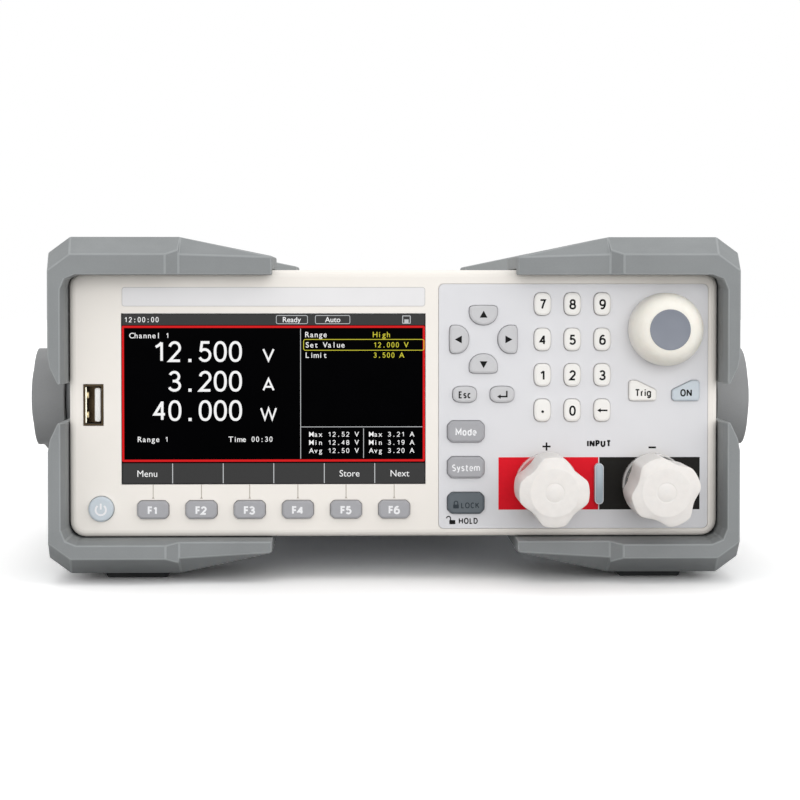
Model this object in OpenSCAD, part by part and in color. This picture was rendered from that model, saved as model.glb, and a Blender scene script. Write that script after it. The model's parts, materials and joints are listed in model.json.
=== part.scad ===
// Bench DC electronic load: half-rack case with corner bumpers, a swing handle,
// a screen, a keypad, an encoder and two front input terminals.
// Millimetres. X runs to the right of the front panel, Y to the rear, Z up from the floor.

/* [Front panel] */
// Panel margin left of the screen, for the power button and the host socket
left_margin = 17.25; // [16:0.05:30]
// Width of the visible screen
screen_w = 100.2; // [90:0.1:130]
// Height of the visible screen
screen_h = 56.3; // [40:0.1:58]
// Screen's lower edge above the panel's lower edge
screen_lift = 17.5; // [16.5:0.1:20]
// Panel between the screen and the control panel
panel_gap = 4.5; // [4.5:0.1:12]
// Width of the control panel
overlay_w = 89.3; // [88:0.1:110]
// Height of the control panel
overlay_h = 81; // [78:0.1:100]
// Panel margin right of the control panel
right_margin = 3.25; // [2.6:0.05:8]
// Panel margin below the control panel
overlay_lift = 2.6; // [2.4:0.1:6]
// Panel margin above the control panel
overlay_top = 4.6; // [2.6:0.1:10]
// Thickness of the control panel
overlay_t = 1; // [0.8:0.1:1.6]
// How far the control panel stands out of the bezel
overlay_proud = 0.2; // [0:0.1:0.5]
// Thickness of the bezel's front wall
bezel_t = 3; // [2.4:0.1:5]
// Radius round the bezel's front edge, and thickness of its side walls
bezel_edge = 2.2; // [1.6:0.1:2.4]
// Corner radius of the bezel
bezel_corner = 5.2; // [3:0.1:8]
// Length of the bezel behind the board
bezel_skirt = 4.4; // [2:0.1:12]

/* [Keys] */
// Width of a digit key
digit_w = 5.6; // [4.5:0.1:6.5]
// Height of a digit key
digit_h = 7.5; // [6:0.1:8.6]
// Column pitch of the digit keys
digit_pitch_x = 9.9; // [9.2:0.1:10.2]
// Row pitch of the digit keys
digit_pitch_z = 11.73; // [11:0.01:13]
// First digit column from the control panel's left edge, as a share of its width
digit_share = 0.384; // [0.365:0.001:0.395]
// First digit row below the control panel's top edge
digit_drop = 6.6; // [6:0.1:9]
// Long side of an arrow key
arrow_w = 9.4; // [8:0.1:11]
// Short side of an arrow key
arrow_h = 6.5; // [5.5:0.1:7.5]
// Flat share of an arrow key's short side, from its outer edge
arrow_shoulder = 2.2; // [1.5:0.1:3]
// Arrow key's centre from the middle of the four
arrow_reach = 8; // [7.6:0.1:9]
// Middle of the arrow keys from the control panel's left edge, as a share of its width
arrow_share = 0.165; // [0.16:0.001:0.175]
// Middle of the arrow keys below the control panel's top edge
arrow_drop = 18.3; // [15:0.1:22]
// Width of the escape and enter keys
edit_w = 8; // [7:0.1:9.5]
// Height of the escape and enter keys
edit_h = 5.4; // [4.5:0.05:6.5]
// Escape key to enter key
edit_pitch = 12.4; // [11.8:0.1:13]
// Escape and enter keys below the middle of the arrow keys
edit_drop = 18.2; // [17:0.1:20]
// Width of the mode, system and lock keys
mode_w = 12.25; // [10:0.05:14]
// Height of the mode, system and lock keys
mode_h = 7.1; // [6:0.1:8.5]
// Mode keys from the control panel's left edge
mode_x = 8.95; // [8.6:0.05:10]
// Pitch of the mode keys
mode_pitch = 11.85; // [10.8:0.05:12.5]
// Lowest mode key above the control panel's lower edge
mode_lift = 8.5; // [6:0.1:10]
// Width of the trigger and on keys
run_w = 9.2; // [8:0.1:11]
// Height of the trigger and on keys
run_h = 6.8; // [6:0.1:8.5]
// Height of the short side of the trigger and on keys
run_short = 3.6; // [3:0.1:5]
// Flat top of the trigger and on keys
run_flat = 2.6; // [2:0.1:4]
// Trigger key to on key
run_pitch = 14.3; // [13.5:0.1:16]
// Trigger and on keys below the encoder
run_drop = 20.4; // [19:0.1:24]
// Width of a function key
fkey_w = 10.4; // [8:0.1:12]
// Height of a function key
fkey_h = 6; // [5:0.05:8]
// Pitch of the function keys
fkey_pitch = 15.93; // [14.6:0.01:16.5]
// Function keys above the panel's lower edge
fkey_lift = 9.06; // [8.5:0.01:9.4]
// Diameter of the power button
power_d = 8.4; // [6:0.1:9]
// Power button from the panel's left edge
power_x = 10.45; // [9:0.05:12]
// Power button above the panel's lower edge
power_lift = 9.35; // [8.5:0.05:11]
// How far a key stands out of the control panel
key_proud = 1.6; // [1.4:0.1:3]
// Travel of a key
key_travel = 1.2; // [0.6:0.1:1.3]
// Rounding of a key's front edge
key_edge = 0.7; // [0.3:0.1:1]
// Clearance round a key and in front of its flange
key_gap = 0.3; // [0.2:0.05:0.5]
// Width of the flange that holds a key in
key_flange = 0.9; // [0.6:0.1:1]

/* [Encoder] */
// Encoder's axis from the control panel's right edge, as a share of its width
encoder_share = 0.1635; // [0.16:0.0005:0.175]
// Encoder's axis below the control panel's top edge
encoder_drop = 14.9; // [13:0.1:17]
// Diameter of the encoder knob
dial_d = 24; // [18:0.1:26]
// Height of the encoder knob
dial_h = 13.7; // [10:0.1:20]
// Straight side of the encoder knob
dial_side = 6; // [3:0.1:8]
// Diameter of the inlaid disc on the encoder knob
dial_face_d = 13.3; // [10:0.1:16]
// Diameter of the encoder's shaft
shaft_d = 6; // [4:0.1:6.4]

/* [Terminals] */
// Distance between the input terminals
terminal_pitch = 35.5; // [30:0.1:40]
// Negative terminal from the control panel's right edge
terminal_x = 18.5; // [17:0.1:20]
// Terminals above the control panel's lower edge
terminal_lift = 14.9; // [14:0.1:17]
// Front of the terminal knobs ahead of the panel
terminal_proud = 34; // [26:0.1:45]
// Radius of the terminal knobs over the lobes
lobe_r = 11.2; // [10.5:0.1:13]
// Half the angle that the end of a lobe spans
lobe_half = 18; // [10:1:25]
// How far the sides of the lobes bow in
lobe_bow = 0.6; // [0.2:0.1:1.5]
// Radius of the flat front of the terminal knobs
lobe_face_r = 8; // [5:0.1:9]
// Length of the bevel behind that flat front
lobe_bevel = 1; // [0.4:0.1:4]
// Diameter of the neck behind the lobes
neck_d = 18; // [14:0.1:18.5]
// Turn of the negative knob at rest, in degrees
negative_turn = 25; // [0:1:45]
// Diameter of a terminal's threaded stud
stud_d = 8; // [5:0.1:10]
// Diameter of a terminal's foot flange
flange_d = 17; // [14:0.1:19]
// Diameter of a terminal's captive ring
ring_d = 20.6; // [17:0.1:22]
// Thickness of the foot flange
post_flange_t = 3.2; // [2:0.1:5]
// Thickness of the captive ring
ring_t = 2.6; // [1.5:0.1:5]
// Width of the barrier between the terminals
barrier_w = 2.8; // [2:0.1:4]
// Height of the barrier between the terminals
barrier_h = 13.4; // [8:0.1:18]
// How far the barrier stands out
barrier_proud = 2.4; // [1:0.1:5]

/* [Host socket] */
// Width of the socket's shell
socket_w = 6.4; // [6:0.1:7.5]
// Height of the socket's shell
socket_h = 13.5; // [12:0.1:15]
// Wall of the socket's shell
socket_wall = 0.5; // [0.3:0.1:0.8]
// Socket from the panel's left edge
socket_x = 7.95; // [7:0.05:10]
// Socket above the panel's lower edge
socket_lift = 43.7; // [36:0.1:60]

/* [Case] */
// Depth of the case from the front panel to the rear panel
body_d = 354.6; // [340:0.1:420]
// Sheet thickness of the tray and the cover
sheet_t = 1.2; // [0.8:0.1:2]
// Bend radius along the case's edges
case_round = 3.6; // [2.4:0.1:5]
// Thickness of the rear panel
rear_t = 2; // [1:0.1:3]
// Height of the tray's side flanges
tray_flange = 12; // [6:0.5:20]
// Width of a side vent slot
vent_w = 3; // [2:0.1:4]
// Height of a side vent slot
vent_h = 34; // [20:1:50]
// Pitch of the side vent slots
vent_pitch = 7; // [5:0.5:10]
// Side vent slots in a row
vent_count = 14; // [4:1:18]

/* [Bumpers] */
// How far a bumper stands ahead of the panel
bumper_proud = 12.4; // [6:0.1:20]
// How far a bumper reaches back along the case
bumper_wrap = 40; // [30:0.5:45]
// Thickness of a bumper at the side of the case
bumper_side = 6.55; // [4:0.05:8]
// Thickness of an upper bumper above the case
bumper_top = 10.9; // [8:0.1:14]
// Thickness of a lower bumper below the case
bumper_bottom = 11.8; // [8:0.1:14]
// Length of the bevel round the front of a bumper
bumper_bevel_d = 11.4; // [6:0.1:12]
// Bevel of a bumper at the side
bumper_bevel_side = 1.1; // [0.5:0.1:2]
// Bevel of a bumper above and below
bumper_bevel_z = 5.8; // [3:0.1:6.5]
// Width of a bumper's cut corner
bumper_cut_x = 7.2; // [4:0.1:10]
// Height of a bumper's cut corner
bumper_cut_z = 5.3; // [3:0.1:8]
// Full-height part of a bumper, from the side of the case inwards
bumper_block = 36.75; // [30:0.25:45]
// Bumper's arm from the side of the case to its thin end
bumper_arm = 67; // [60:0.25:90]
// Height of the arm's thin end
bumper_tip_h = 4.6; // [3:0.1:7]
// Setback of the arm's front face behind the block's
bumper_step = 3; // [1:0.1:5]
// Slant of the step in front of the arm
bumper_slant = 4.1; // [2:0.1:6]
// Upper bumper's leg down the side of the case
bumper_leg_up = 37.3; // [25:0.1:39]
// Lower bumper's leg up the side of the case
bumper_leg_low = 38.4; // [25:0.1:39]
// Length of the taper at a leg's tip
bumper_leg_taper = 5.4; // [3:0.1:9]
// How far a leg leans in above its taper
bumper_lean = 1.8; // [0.5:0.1:2.5]
// Length over which a leg leans in
bumper_lean_l = 15; // [8:0.5:18]
// Bevel along a bumper's inner front edge
bumper_lip = 1; // [0.5:0.1:3]
// How far the upper bumpers hang over the panel's top edge
bumper_hood = 1.6; // [0.5:0.1:2.5]
// Clearance between a bumper and the case
bumper_fit = 0.4; // [0.1:0.05:0.6]
// Thickness of a foot below a bumper
foot_t = 2.7; // [2:0.1:8]
// Width of a foot
foot_w = 22; // [12:0.5:30]
// Length of a foot
foot_l = 28; // [16:0.5:32]
// Foot from the side of the case
foot_x = 10.5; // [8:0.25:14]

/* [Handle] */
// Diameter of the handle's hubs
hub_d = 34.5; // [28:0.5:42]
// Handle's pivot behind the panel
pivot_y = 61; // [58:0.5:75]
// Handle's pivot above the panel's lower edge
pivot_lift = 43.6; // [38:0.1:48]
// Pivot to the middle of the handle's bar
arm_l = 180; // [150:1:220]
// Thickness of the handle's arms
arm_t = 10.8; // [6:0.1:14]
// Diameter of the handle's bar
bar_d = 10; // [6:0.5:10]
// Clearance between the stowed bar and the tray
bar_gap = 1.5; // [1:0.1:2.5]
// Diameter of the pivot pins
pivot_d = 16; // [10:0.5:20]
// Clearance between a bumper and a handle arm
arm_gap = 1.2; // [0.6:0.1:3]

/* [Inside and rear] */
// Side of the square fan
fan_size = 60; // [50:1:70]
// Thickness of the fan
fan_t = 25; // [20:1:30]
// Fan's axis left of the case's middle
fan_x = 55; // [45:0.5:62]
// Length of the heat sink
sink_l = 150; // [100:1:160]
// Height of the heat sink
sink_h = 62; // [40:1:70]
// Fins on the heat sink
sink_fins = 15; // [8:1:18]
// Share of the boards' length that the main board takes
main_share = 0.64; // [0.58:0.01:0.68]
// Clearance between the main board and the power supply
board_gap = 27.6; // [6:0.2:40]
// Width of the two boards on the tray's right half
inner_w = 88; // [70:1:90]
// Mains inlet right of the case's middle
inlet_x = 76; // [70:0.5:78]
// Mains inlet above the case's lower edge
inlet_lift = 22; // [18:0.5:28]
// Row of rear connectors above the case's lower edge
port_lift = 62; // [52:0.5:66]

/* [Hidden] */
$fn = 48;
// Smallest step that makes a cut run past a face
past = 1;
// Clearance of a shaft, a pin or a thread in its bore
run_gap = 0.05;
// Clearance between parts that move past each other face to face
face_gap = 0.3;
// Clearance of a piece set into an opening
seat_gap = 0.15;

// Case
body_w = left_margin + screen_w + panel_gap + overlay_w + right_margin;
body_h = overlay_lift + overlay_h + overlay_top;
foot_h = bumper_bottom + foot_t;
case_top = foot_h + body_h;
mid_y = (body_d + bumper_proud - terminal_proud) / 2;
inner_z = foot_h + sheet_t;
rear_y = body_d - rear_t;

// Places on the panel
panel_x = -body_w / 2;
screen_x = panel_x + left_margin;
screen_z = foot_h + screen_lift;
overlay_x = screen_x + screen_w + panel_gap;
overlay_z = foot_h + overlay_lift;
overlay_end = overlay_x + overlay_w;
overlay_head = overlay_z + overlay_h;
screen_mid_x = screen_x + screen_w / 2;
arrow_mid_x = overlay_x + arrow_share * overlay_w;
arrow_mid_z = overlay_head - arrow_drop;
dial_x = overlay_end - encoder_share * overlay_w;
dial_z = overlay_head - encoder_drop;
negative_x = overlay_end - terminal_x;
positive_x = negative_x - terminal_pitch;
post_z = overlay_z + terminal_lift;
socket_mid_x = panel_x + socket_x;
socket_mid_z = foot_h + socket_lift;

// Depths behind the panel face
pocket_y = overlay_t - overlay_proud;
flange_t = 0.8;
flange_y = bezel_t + key_gap;
plunger_l = 1.1;
nub_h = 0.3;
mat_t = 1;
nub_y = flange_y + flange_t + plunger_l + key_travel + key_gap;
board_y = nub_y + nub_h + mat_t;
board_t = 1.6;
bezel_d = board_y + board_t + bezel_skirt;

// Bezel bosses: distance of the posts from the panel's edges, and their radius
boss_in = 6.25;
boss_r = 2.4;
boss_low = 24;
module_rim = 4;

// Corner radius of the control panel and rounding of the barrier's ends
overlay_round = 1.7;
barrier_flat = 0.2;
barrier_round = (barrier_w - barrier_flat) / 2;

// Key outlines
digit_curve = 3.1;
edit_curve = 2.9;
dee_flat_curve = 4.5;
dee_round_curve = 2.1;
cut_share = 0.2;
cut_round = 0.9;
run_round = 1.1;
outline_points = 24;
round_steps = 2;
edge_steps = 2;

// Every key: node, centre X, centre Z, outline, colour
white_key = [0.94, 0.93, 0.91];
pale_key = [0.82, 0.82, 0.83];
grey_key = [0.65, 0.65, 0.66];
dark_key = [0.36, 0.39, 0.42];
blue_key = [0.82, 0.86, 0.89];
DIGIT_ROWS = [["key_7", "key_8", "key_9"], ["key_4", "key_5", "key_6"],
              ["key_1", "key_2", "key_3"], ["key_point", "key_0", "key_back"]];
ARROWS = ["key_up", "key_left", "key_down", "key_right"];
MODES = ["key_lock", "key_system", "key_mode"];
digit_keys = [for (r = [0:3]) for (c = [0:2])
    [DIGIT_ROWS[r][c], overlay_x + digit_share * overlay_w + c * digit_pitch_x,
     overlay_head - digit_drop - r * digit_pitch_z, "digit", white_key]];
arrow_keys = [for (i = [0:3])
    [ARROWS[i], arrow_mid_x + arrow_reach * cos(90 + 90 * i),
     arrow_mid_z + arrow_reach * sin(90 + 90 * i), ARROWS[i], pale_key]];
edit_keys = [for (i = [0:1])
    [["key_esc", "key_enter"][i], arrow_mid_x + (i - 0.5) * edit_pitch,
     arrow_mid_z - edit_drop, "edit", pale_key]];
mode_keys = [for (i = [0:2])
    [MODES[i], overlay_x + mode_x, overlay_z + mode_lift + i * mode_pitch, "mode",
     i == 0 ? dark_key : grey_key]];
run_keys = [for (i = [0:1])
    [["key_trig", "key_on"][i], dial_x + (i - 0.5) * run_pitch, dial_z - run_drop,
     ["trig", "on"][i], [white_key, blue_key][i]]];
function_keys = [for (i = [0:5])
    [str("key_f", i + 1), screen_mid_x + (i - 2.5) * fkey_pitch, foot_h + fkey_lift, "function", grey_key]];
power_keys = [["power_button", panel_x + power_x, foot_h + power_lift, "power", blue_key]];
control_keys = concat(digit_keys, arrow_keys, edit_keys, mode_keys, run_keys);
lower_keys = concat(function_keys, power_keys);
KEYS = concat(control_keys, lower_keys);

// Terminal stack, from the panel face outwards
post_face = -overlay_proud - post_flange_t;
ring_face = post_face - face_gap - ring_t;
lobe_back = ring_face - face_gap;
lobe_neck = 3.4;
lobe_pitch = 90;
lobe_top_wall = 3;
stud_end = 2;
stud_tip = -terminal_proud + lobe_top_wall + stud_end;
nut_t = 3.4;
nut_share = 0.8;
stud_tail = 4;

// Encoder stack
dial_gap = 0.5;
dial_back = -overlay_proud - dial_gap;
dial_front = dial_back - dial_h;
bushing_d = shaft_d + 3;
bushing_l = 2.8;
encoder_side = 12.5;
dial_hollow_r = bushing_d / 2 + 1;
dial_hollow_l = bushing_l + 1;
dial_top_wall = 2.4;
shaft_foot = 1.2;

// Bumper outlines, measured from the case
bumper_half_w = body_w / 2 + bumper_side;
bumper_head = case_top + bumper_top;
bumper_foot = foot_h - bumper_bottom;
arm_face_drop = 0.9;
arm_tip_edge = 0.4;
pocket_round = case_round + bumper_fit;
tip_side = bumper_side / 3;
lip_l = 4;
hood_gap = 1;
hood_drop = bumper_hood + bumper_fit;

// Handle
arm_in = bumper_half_w + arm_gap;
arm_out = arm_in + arm_t;
pivot_z = foot_h + pivot_lift;
bar_z = foot_h - bar_gap - bar_d / 2;
bar_y = pivot_y + sqrt(arm_l * arm_l - (pivot_z - bar_z) * (pivot_z - bar_z));
arm_narrow = 0.92;
arm_end_d = 15;
arm_end_trim = 0.7;
boss_d = pivot_d + 12;
hub_cap_t = 0.7;
hub_cap_d = hub_d - 9;

// Rear
fan_bore_r = fan_size / 2 - 1.5;
fan_z = foot_h + body_h / 2;
fan_hub_r = fan_size / 4.6;
fan_base_t = 3.5;
fan_pin_r = 1.5;
fan_blades = 7;
blade_t = 1.2;
blade_pitch = 38;
blade_gap = 1;
guard_step = 7;
guard_w = 2;
sink_base = 8;
sink_fin_t = 1.6;
sink_w = fan_size + 20;
sink_rear_gap = 12;
standoff_h = 5;
standoff_r = 3;
inlet_w = 27;
inlet_h = 20;
inlet_flange = 3;
inlet_flange_t = 2;
inlet_l = 22;
board_inset = 16;
supply_gap = 8;
board_front = bezel_d + board_inset;
supply_rear = rear_y - inlet_l - supply_gap;
main_l = main_share * (supply_rear - board_front - board_gap);
supply_l = supply_rear - board_front - board_gap - main_l;
inlet_wall = 1.6;
inlet_pin = [2, 4];
inlet_pin_l = 14;
// Rear ports: width, height, depth of the mouth
PORTS = [[31, 12.5, 6], [16, 14, 12], [12, 11, 9]];
port_gap = 5;
port_x = 8;
port_l = 18;
port_wall = 1.2;

// Outlines

function rect_points(w, h) = [[-w / 2, -h / 2], [w / 2, -h / 2], [w / 2, h / 2], [-w / 2, h / 2]];

function cut_rect_points(w, h, cx, cz) =
    [[-w / 2 + cx, -h / 2], [w / 2 - cx, -h / 2], [w / 2, -h / 2 + cz], [w / 2, h / 2 - cz],
     [w / 2 - cx, h / 2], [-w / 2 + cx, h / 2], [-w / 2, h / 2 - cz], [-w / 2, -h / 2 + cz]];

function moved(points, x, z) = [for (p = points) p + [x, z]];

function turned(points, a) =
    [for (p = points) [p[0] * cos(a) - p[1] * sin(a), p[0] * sin(a) + p[1] * cos(a)]];

function mirrored(points) = [for (i = [len(points) - 1:-1:0]) [-points[i][0], points[i][1]]];

// Outward normal of the side from a to b, on an outline that runs anticlockwise
function side_normal(a, b) = let (t = (b - a) / norm(b - a)) [t[1], -t[0]];

// Direction and length from a corner to where its two neighbouring sides meet after moving out by 1
function mitre(points, i) =
    let (n = len(points), a = points[(i + n - 1) % n], b = points[i], c = points[(i + 1) % n],
         u = side_normal(a, b), w = side_normal(b, c))
    (u + w) / (1 + u * w);

function grown(points, d) = [for (i = [0:len(points) - 1]) points[i] + d * mitre(points, i)];

function rounded(points, r, steps = round_steps) =
    [for (i = [0:len(points) - 1])
        let (n = len(points), u = side_normal(points[(i + n - 1) % n], points[i]),
             w = side_normal(points[i], points[(i + 1) % n]), start = atan2(u[1], u[0]),
             turn = acos(u * w), middle = points[i] - r * mitre(points, i))
        for (k = [0:steps]) middle + r * [cos(start + turn * k / steps), sin(start + turn * k / steps)]];

function signed_power(v, e) = sign(v) * pow(abs(v), e);

// Oval that is squarer the higher its curve is
function oval_points(a, b, curve, n = outline_points) =
    [for (i = [0:n - 1]) let (t = 360 * i / n)
        [a * signed_power(cos(t), 2 / curve), b * signed_power(sin(t), 2 / curve)]];

// Arrow key: nearly flat above, round below
function dee_points(g, n = outline_points) =
    [for (i = [0:n - 1])
        let (t = 360 * i / n, high = sin(t) >= 0, e = 2 / (high ? dee_flat_curve : dee_round_curve),
             b = high ? arrow_shoulder : arrow_h - arrow_shoulder)
        [(arrow_w / 2 + g) * signed_power(cos(t), e),
         arrow_h / 2 - arrow_shoulder + (b + g) * signed_power(sin(t), e)]];

function cut_key_points(w, h, g) =
    rounded(grown(cut_rect_points(w, h, h * cut_share, h * cut_share), g), cut_round + max(g, 0));

function run_points(g) =
    rounded(grown([[-run_w / 2, -run_h / 2], [run_w / 2, -run_h / 2], [run_w / 2, run_short - run_h / 2],
                   [run_flat - run_w / 2, run_h / 2], [-run_w / 2, run_h / 2]], g),
            run_round + g, 2 * round_steps);

// Outline of a key about its centre, grown by g
function key_points(shape, g) =
    shape == "digit" ? oval_points(digit_w / 2 + g, digit_h / 2 + g, digit_curve)
    : shape == "edit" ? oval_points(edit_w / 2 + g, edit_h / 2 + g, edit_curve)
    : shape == "mode" ? cut_key_points(mode_w, mode_h, g)
    : shape == "function" ? cut_key_points(fkey_w, fkey_h, g)
    : shape == "trig" ? run_points(g)
    : shape == "on" ? mirrored(run_points(g))
    : shape == "power" ? oval_points(power_d / 2 + g, power_d / 2 + g, 2)
    : turned(dee_points(g), 90 * search([shape], ARROWS)[0]);

function placed_key(k, g) = moved(key_points(k[3], g), k[1], k[2]);

// Outline of the bezel, drawn in by d
function bezel_points(d) =
    moved(rounded(rect_points(body_w - 2 * d, body_h - 2 * d), bezel_corner - d, 3 * round_steps),
          0, foot_h + body_h / 2);

// Radius of a terminal knob at an angle of c from the middle of a hollow
function lobed_r(c, side = lobe_pitch / 2 - lobe_half) =
    c > side ? lobe_r : lobe_r * cos(side) / cos(c) - lobe_bow * (1 + cos(180 * c / side)) / 2;

// Lobed outline of a terminal knob
function lobed_points(n = 3 * outline_points) =
    [for (i = [0:n - 1]) let (t = 360 * i / n, r = lobed_r(abs(t % lobe_pitch - lobe_pitch / 2)))
        [r * cos(t), r * sin(t)]];

// Outline of the bumpers, drawn in by dx at the sides and dz above and below
function bumper_points(dx, dz) =
    moved(cut_rect_points(2 * (bumper_half_w - dx), bumper_head - bumper_foot - 2 * dz,
                          bumper_cut_x, bumper_cut_z),
          0, (bumper_head + bumper_foot) / 2);

// Building blocks

module place() {
    translate([0, -mid_y, 0]) children();
}

// Raises an X-Z outline along Y
module along_y(y0, y1) {
    translate([0, y1, 0]) rotate([90, 0, 0]) linear_extrude(y1 - y0) children();
}

// Raises a Y-Z outline along X
module along_x(x0, x1) {
    translate([x0, 0, 0]) rotate([90, 0, 90]) linear_extrude(x1 - x0) children();
}

module rod_y(x, z, d, y0, y1) {
    translate([x, y0, z]) rotate([-90, 0, 0]) cylinder(d = d, h = y1 - y0);
}

module rod_x(y, z, d, x0, x1) {
    translate([x0, y, z]) rotate([0, 90, 0]) cylinder(d = d, h = x1 - x0);
}

module block(x0, x1, y0, y1, z0, z1) {
    translate([x0, y0, z0]) cube([x1 - x0, y1 - y0, z1 - z0]);
}

// Skin through outlines of as many points each, listed from front to rear as [outline, y]
module loft(rings) {
    n = len(rings[0][0]);
    last = (len(rings) - 1) * n;
    polyhedron(
        points = [for (r = rings) for (p = r[0]) [p[0], r[1], p[1]]],
        faces = concat([[for (i = [n - 1:-1:0]) i]],
                       [for (k = [0:len(rings) - 2]) for (i = [0:n - 1])
                           [k * n + i, k * n + (i + 1) % n, (k + 1) * n + (i + 1) % n, (k + 1) * n + i]],
                       [[for (i = [0:n - 1]) last + i]]));
}

module both_sides() {
    children();
    mirror([1, 0, 0]) children();
}

// Front panel pieces

module key(k) {
    front = -overlay_proud - key_proud;
    color(k[4]) place() {
        loft(concat([for (s = [0:edge_steps]) let (a = 90 * s / edge_steps)
                        [placed_key(k, -key_edge * (1 - sin(a))), front + key_edge * (1 - cos(a))]],
                    [[placed_key(k, 0), flange_y + flange_t]]));
        along_y(flange_y, flange_y + flange_t) polygon(placed_key(k, key_flange));
        rod_y(k[1], k[2], 2 * plunger_l, flange_y, flange_y + flange_t + plunger_l);
    }
}

module key_holes(keys) {
    for (k = keys) polygon(placed_key(k, key_gap));
}

module screen_outline(rim) {
    translate([screen_x - rim, screen_z - rim]) square([screen_w + 2 * rim, screen_h + 2 * rim]);
}

module socket_outline(rim) {
    translate([socket_mid_x, socket_mid_z]) square([socket_w + 2 * rim, socket_h + 2 * rim], center = true);
}

module overlay_outline(rim) {
    corners = rect_points(overlay_w + 2 * rim, overlay_h + 2 * rim);
    translate([overlay_x + overlay_w / 2, overlay_z + overlay_h / 2])
        polygon(rounded(corners, overlay_round, 3 * round_steps));
}

// Holes for the encoder's bushing and the terminal studs
module axis_holes() {
    translate([dial_x, dial_z]) circle(d = bushing_d + 2 * face_gap);
    for (x = [positive_x, negative_x]) translate([x, post_z]) circle(d = stud_d + 2 * face_gap);
}

boss_places = [[panel_x + boss_in, foot_h + boss_low], [panel_x + boss_in, case_top - boss_in],
               [overlay_x - panel_gap / 2, foot_h + boss_in], [overlay_x - panel_gap / 2, case_top - boss_in],
               [-panel_x - boss_in, foot_h + boss_in], [-panel_x - boss_in, case_top - boss_in]];

module front_bezel() {
    rim_steps = 4;
    color([0.93, 0.91, 0.88]) place() {
        difference() {
            loft(concat([for (s = [0:rim_steps]) let (a = 90 * s / rim_steps)
                            [bezel_points(bezel_edge * (1 - sin(a))), bezel_edge * (1 - cos(a))]],
                        [[bezel_points(0), bezel_d]]));
            along_y(-past, bezel_d + past) polygon(bezel_points(bezel_edge));
        }
        along_y(0, pocket_y) difference() {
            polygon(bezel_points(bezel_edge));
            overlay_outline(seat_gap);
            screen_outline(seat_gap);
            socket_outline(seat_gap);
            key_holes(lower_keys);
        }
        along_y(pocket_y, bezel_t) difference() {
            polygon(bezel_points(bezel_edge));
            screen_outline(seat_gap);
            socket_outline(seat_gap);
            key_holes(KEYS);
            axis_holes();
        }
        for (p = boss_places) rod_y(p[0], p[1], 2 * boss_r, bezel_t, board_y);
    }
}

module control_panel() {
    color([0.88, 0.89, 0.90]) place() {
        along_y(-overlay_proud, pocket_y) difference() {
            overlay_outline(0);
            key_holes(control_keys);
            axis_holes();
        }
        along_y(-overlay_proud - barrier_proud, -overlay_proud)
            polygon(moved(rounded(rect_points(barrier_w, barrier_h), barrier_round, 4 * round_steps),
                          (positive_x + negative_x) / 2, post_z));
    }
}

module lcd_window() {
    color([0.10, 0.10, 0.11]) place() along_y(seat_gap, bezel_t) screen_outline(0);
}

module lcd_module() {
    color([0.55, 0.56, 0.58]) place() along_y(bezel_t, board_y) screen_outline(module_rim);
}

module usb_socket() {
    tongue_w = 1.9;
    tongue_in = 0.6;
    back_t = 1;
    floor_y = board_y - back_t;
    tongue_x = socket_mid_x + socket_w / 2 - socket_wall - tongue_in - tongue_w;
    color([0.72, 0.66, 0.50]) place() {
        along_y(-overlay_proud, floor_y) difference() {
            socket_outline(0);
            socket_outline(-socket_wall);
        }
        along_y(floor_y, board_y) socket_outline(0);
        block(tongue_x, tongue_x + tongue_w, overlay_t, floor_y,
              socket_mid_z - socket_h / 2 + 2 * socket_wall, socket_mid_z + socket_h / 2 - 2 * socket_wall);
    }
}

module dome_mat() {
    sheet_y = board_y - mat_t;
    edge = 1.6;
    strip_h = fkey_h + 2 * key_flange;
    strip_x = panel_x + power_x - power_d / 2;
    color([0.30, 0.31, 0.33]) place() {
        along_y(sheet_y, board_y) difference() {
            translate([overlay_x + edge, overlay_z + edge])
                square([overlay_w - boss_in - edge, overlay_h - 2 * edge]);
            translate([dial_x, dial_z]) square(encoder_side + 2 * edge, center = true);
            for (x = [positive_x, negative_x])
                translate([x, post_z]) circle(d = flange_d);
            translate([-panel_x - boss_in, foot_h + boss_in]) circle(r = boss_r + edge);
            translate([-panel_x - boss_in, case_top - boss_in]) circle(r = boss_r + edge);
        }
        along_y(sheet_y, board_y)
            translate([strip_x, foot_h + fkey_lift - strip_h / 2])
                square([screen_mid_x + 2.5 * fkey_pitch + fkey_w / 2 - strip_x, strip_h]);
        for (k = KEYS) rod_y(k[1], k[2], 4 * plunger_l, nub_y, board_y);
    }
}

module front_board() {
    board_edge = bezel_edge + 0.4;
    color([0.10, 0.38, 0.22]) place() along_y(board_y, board_y + board_t) difference() {
        polygon(bezel_points(board_edge));
        for (x = [positive_x, negative_x]) translate([x, post_z]) circle(d = stud_d + 4);
    }
}

module encoder_body() {
    top_y = bezel_t + face_gap;
    color([0.60, 0.61, 0.62]) place() difference() {
        union() {
            along_y(top_y, board_y) translate([dial_x, dial_z]) square(encoder_side, center = true);
            rod_y(dial_x, dial_z, bushing_d, -overlay_proud - bushing_l, top_y);
        }
        rod_y(dial_x, dial_z, shaft_d + 2 * run_gap, -overlay_proud - bushing_l - past, board_y - shaft_foot);
    }
}

module encoder_shaft() {
    tip_y = dial_front + dial_top_wall + face_gap;
    color([0.75, 0.76, 0.77]) place() rod_y(dial_x, dial_z, shaft_d, tip_y, board_y - shaft_foot - face_gap);
}

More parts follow.
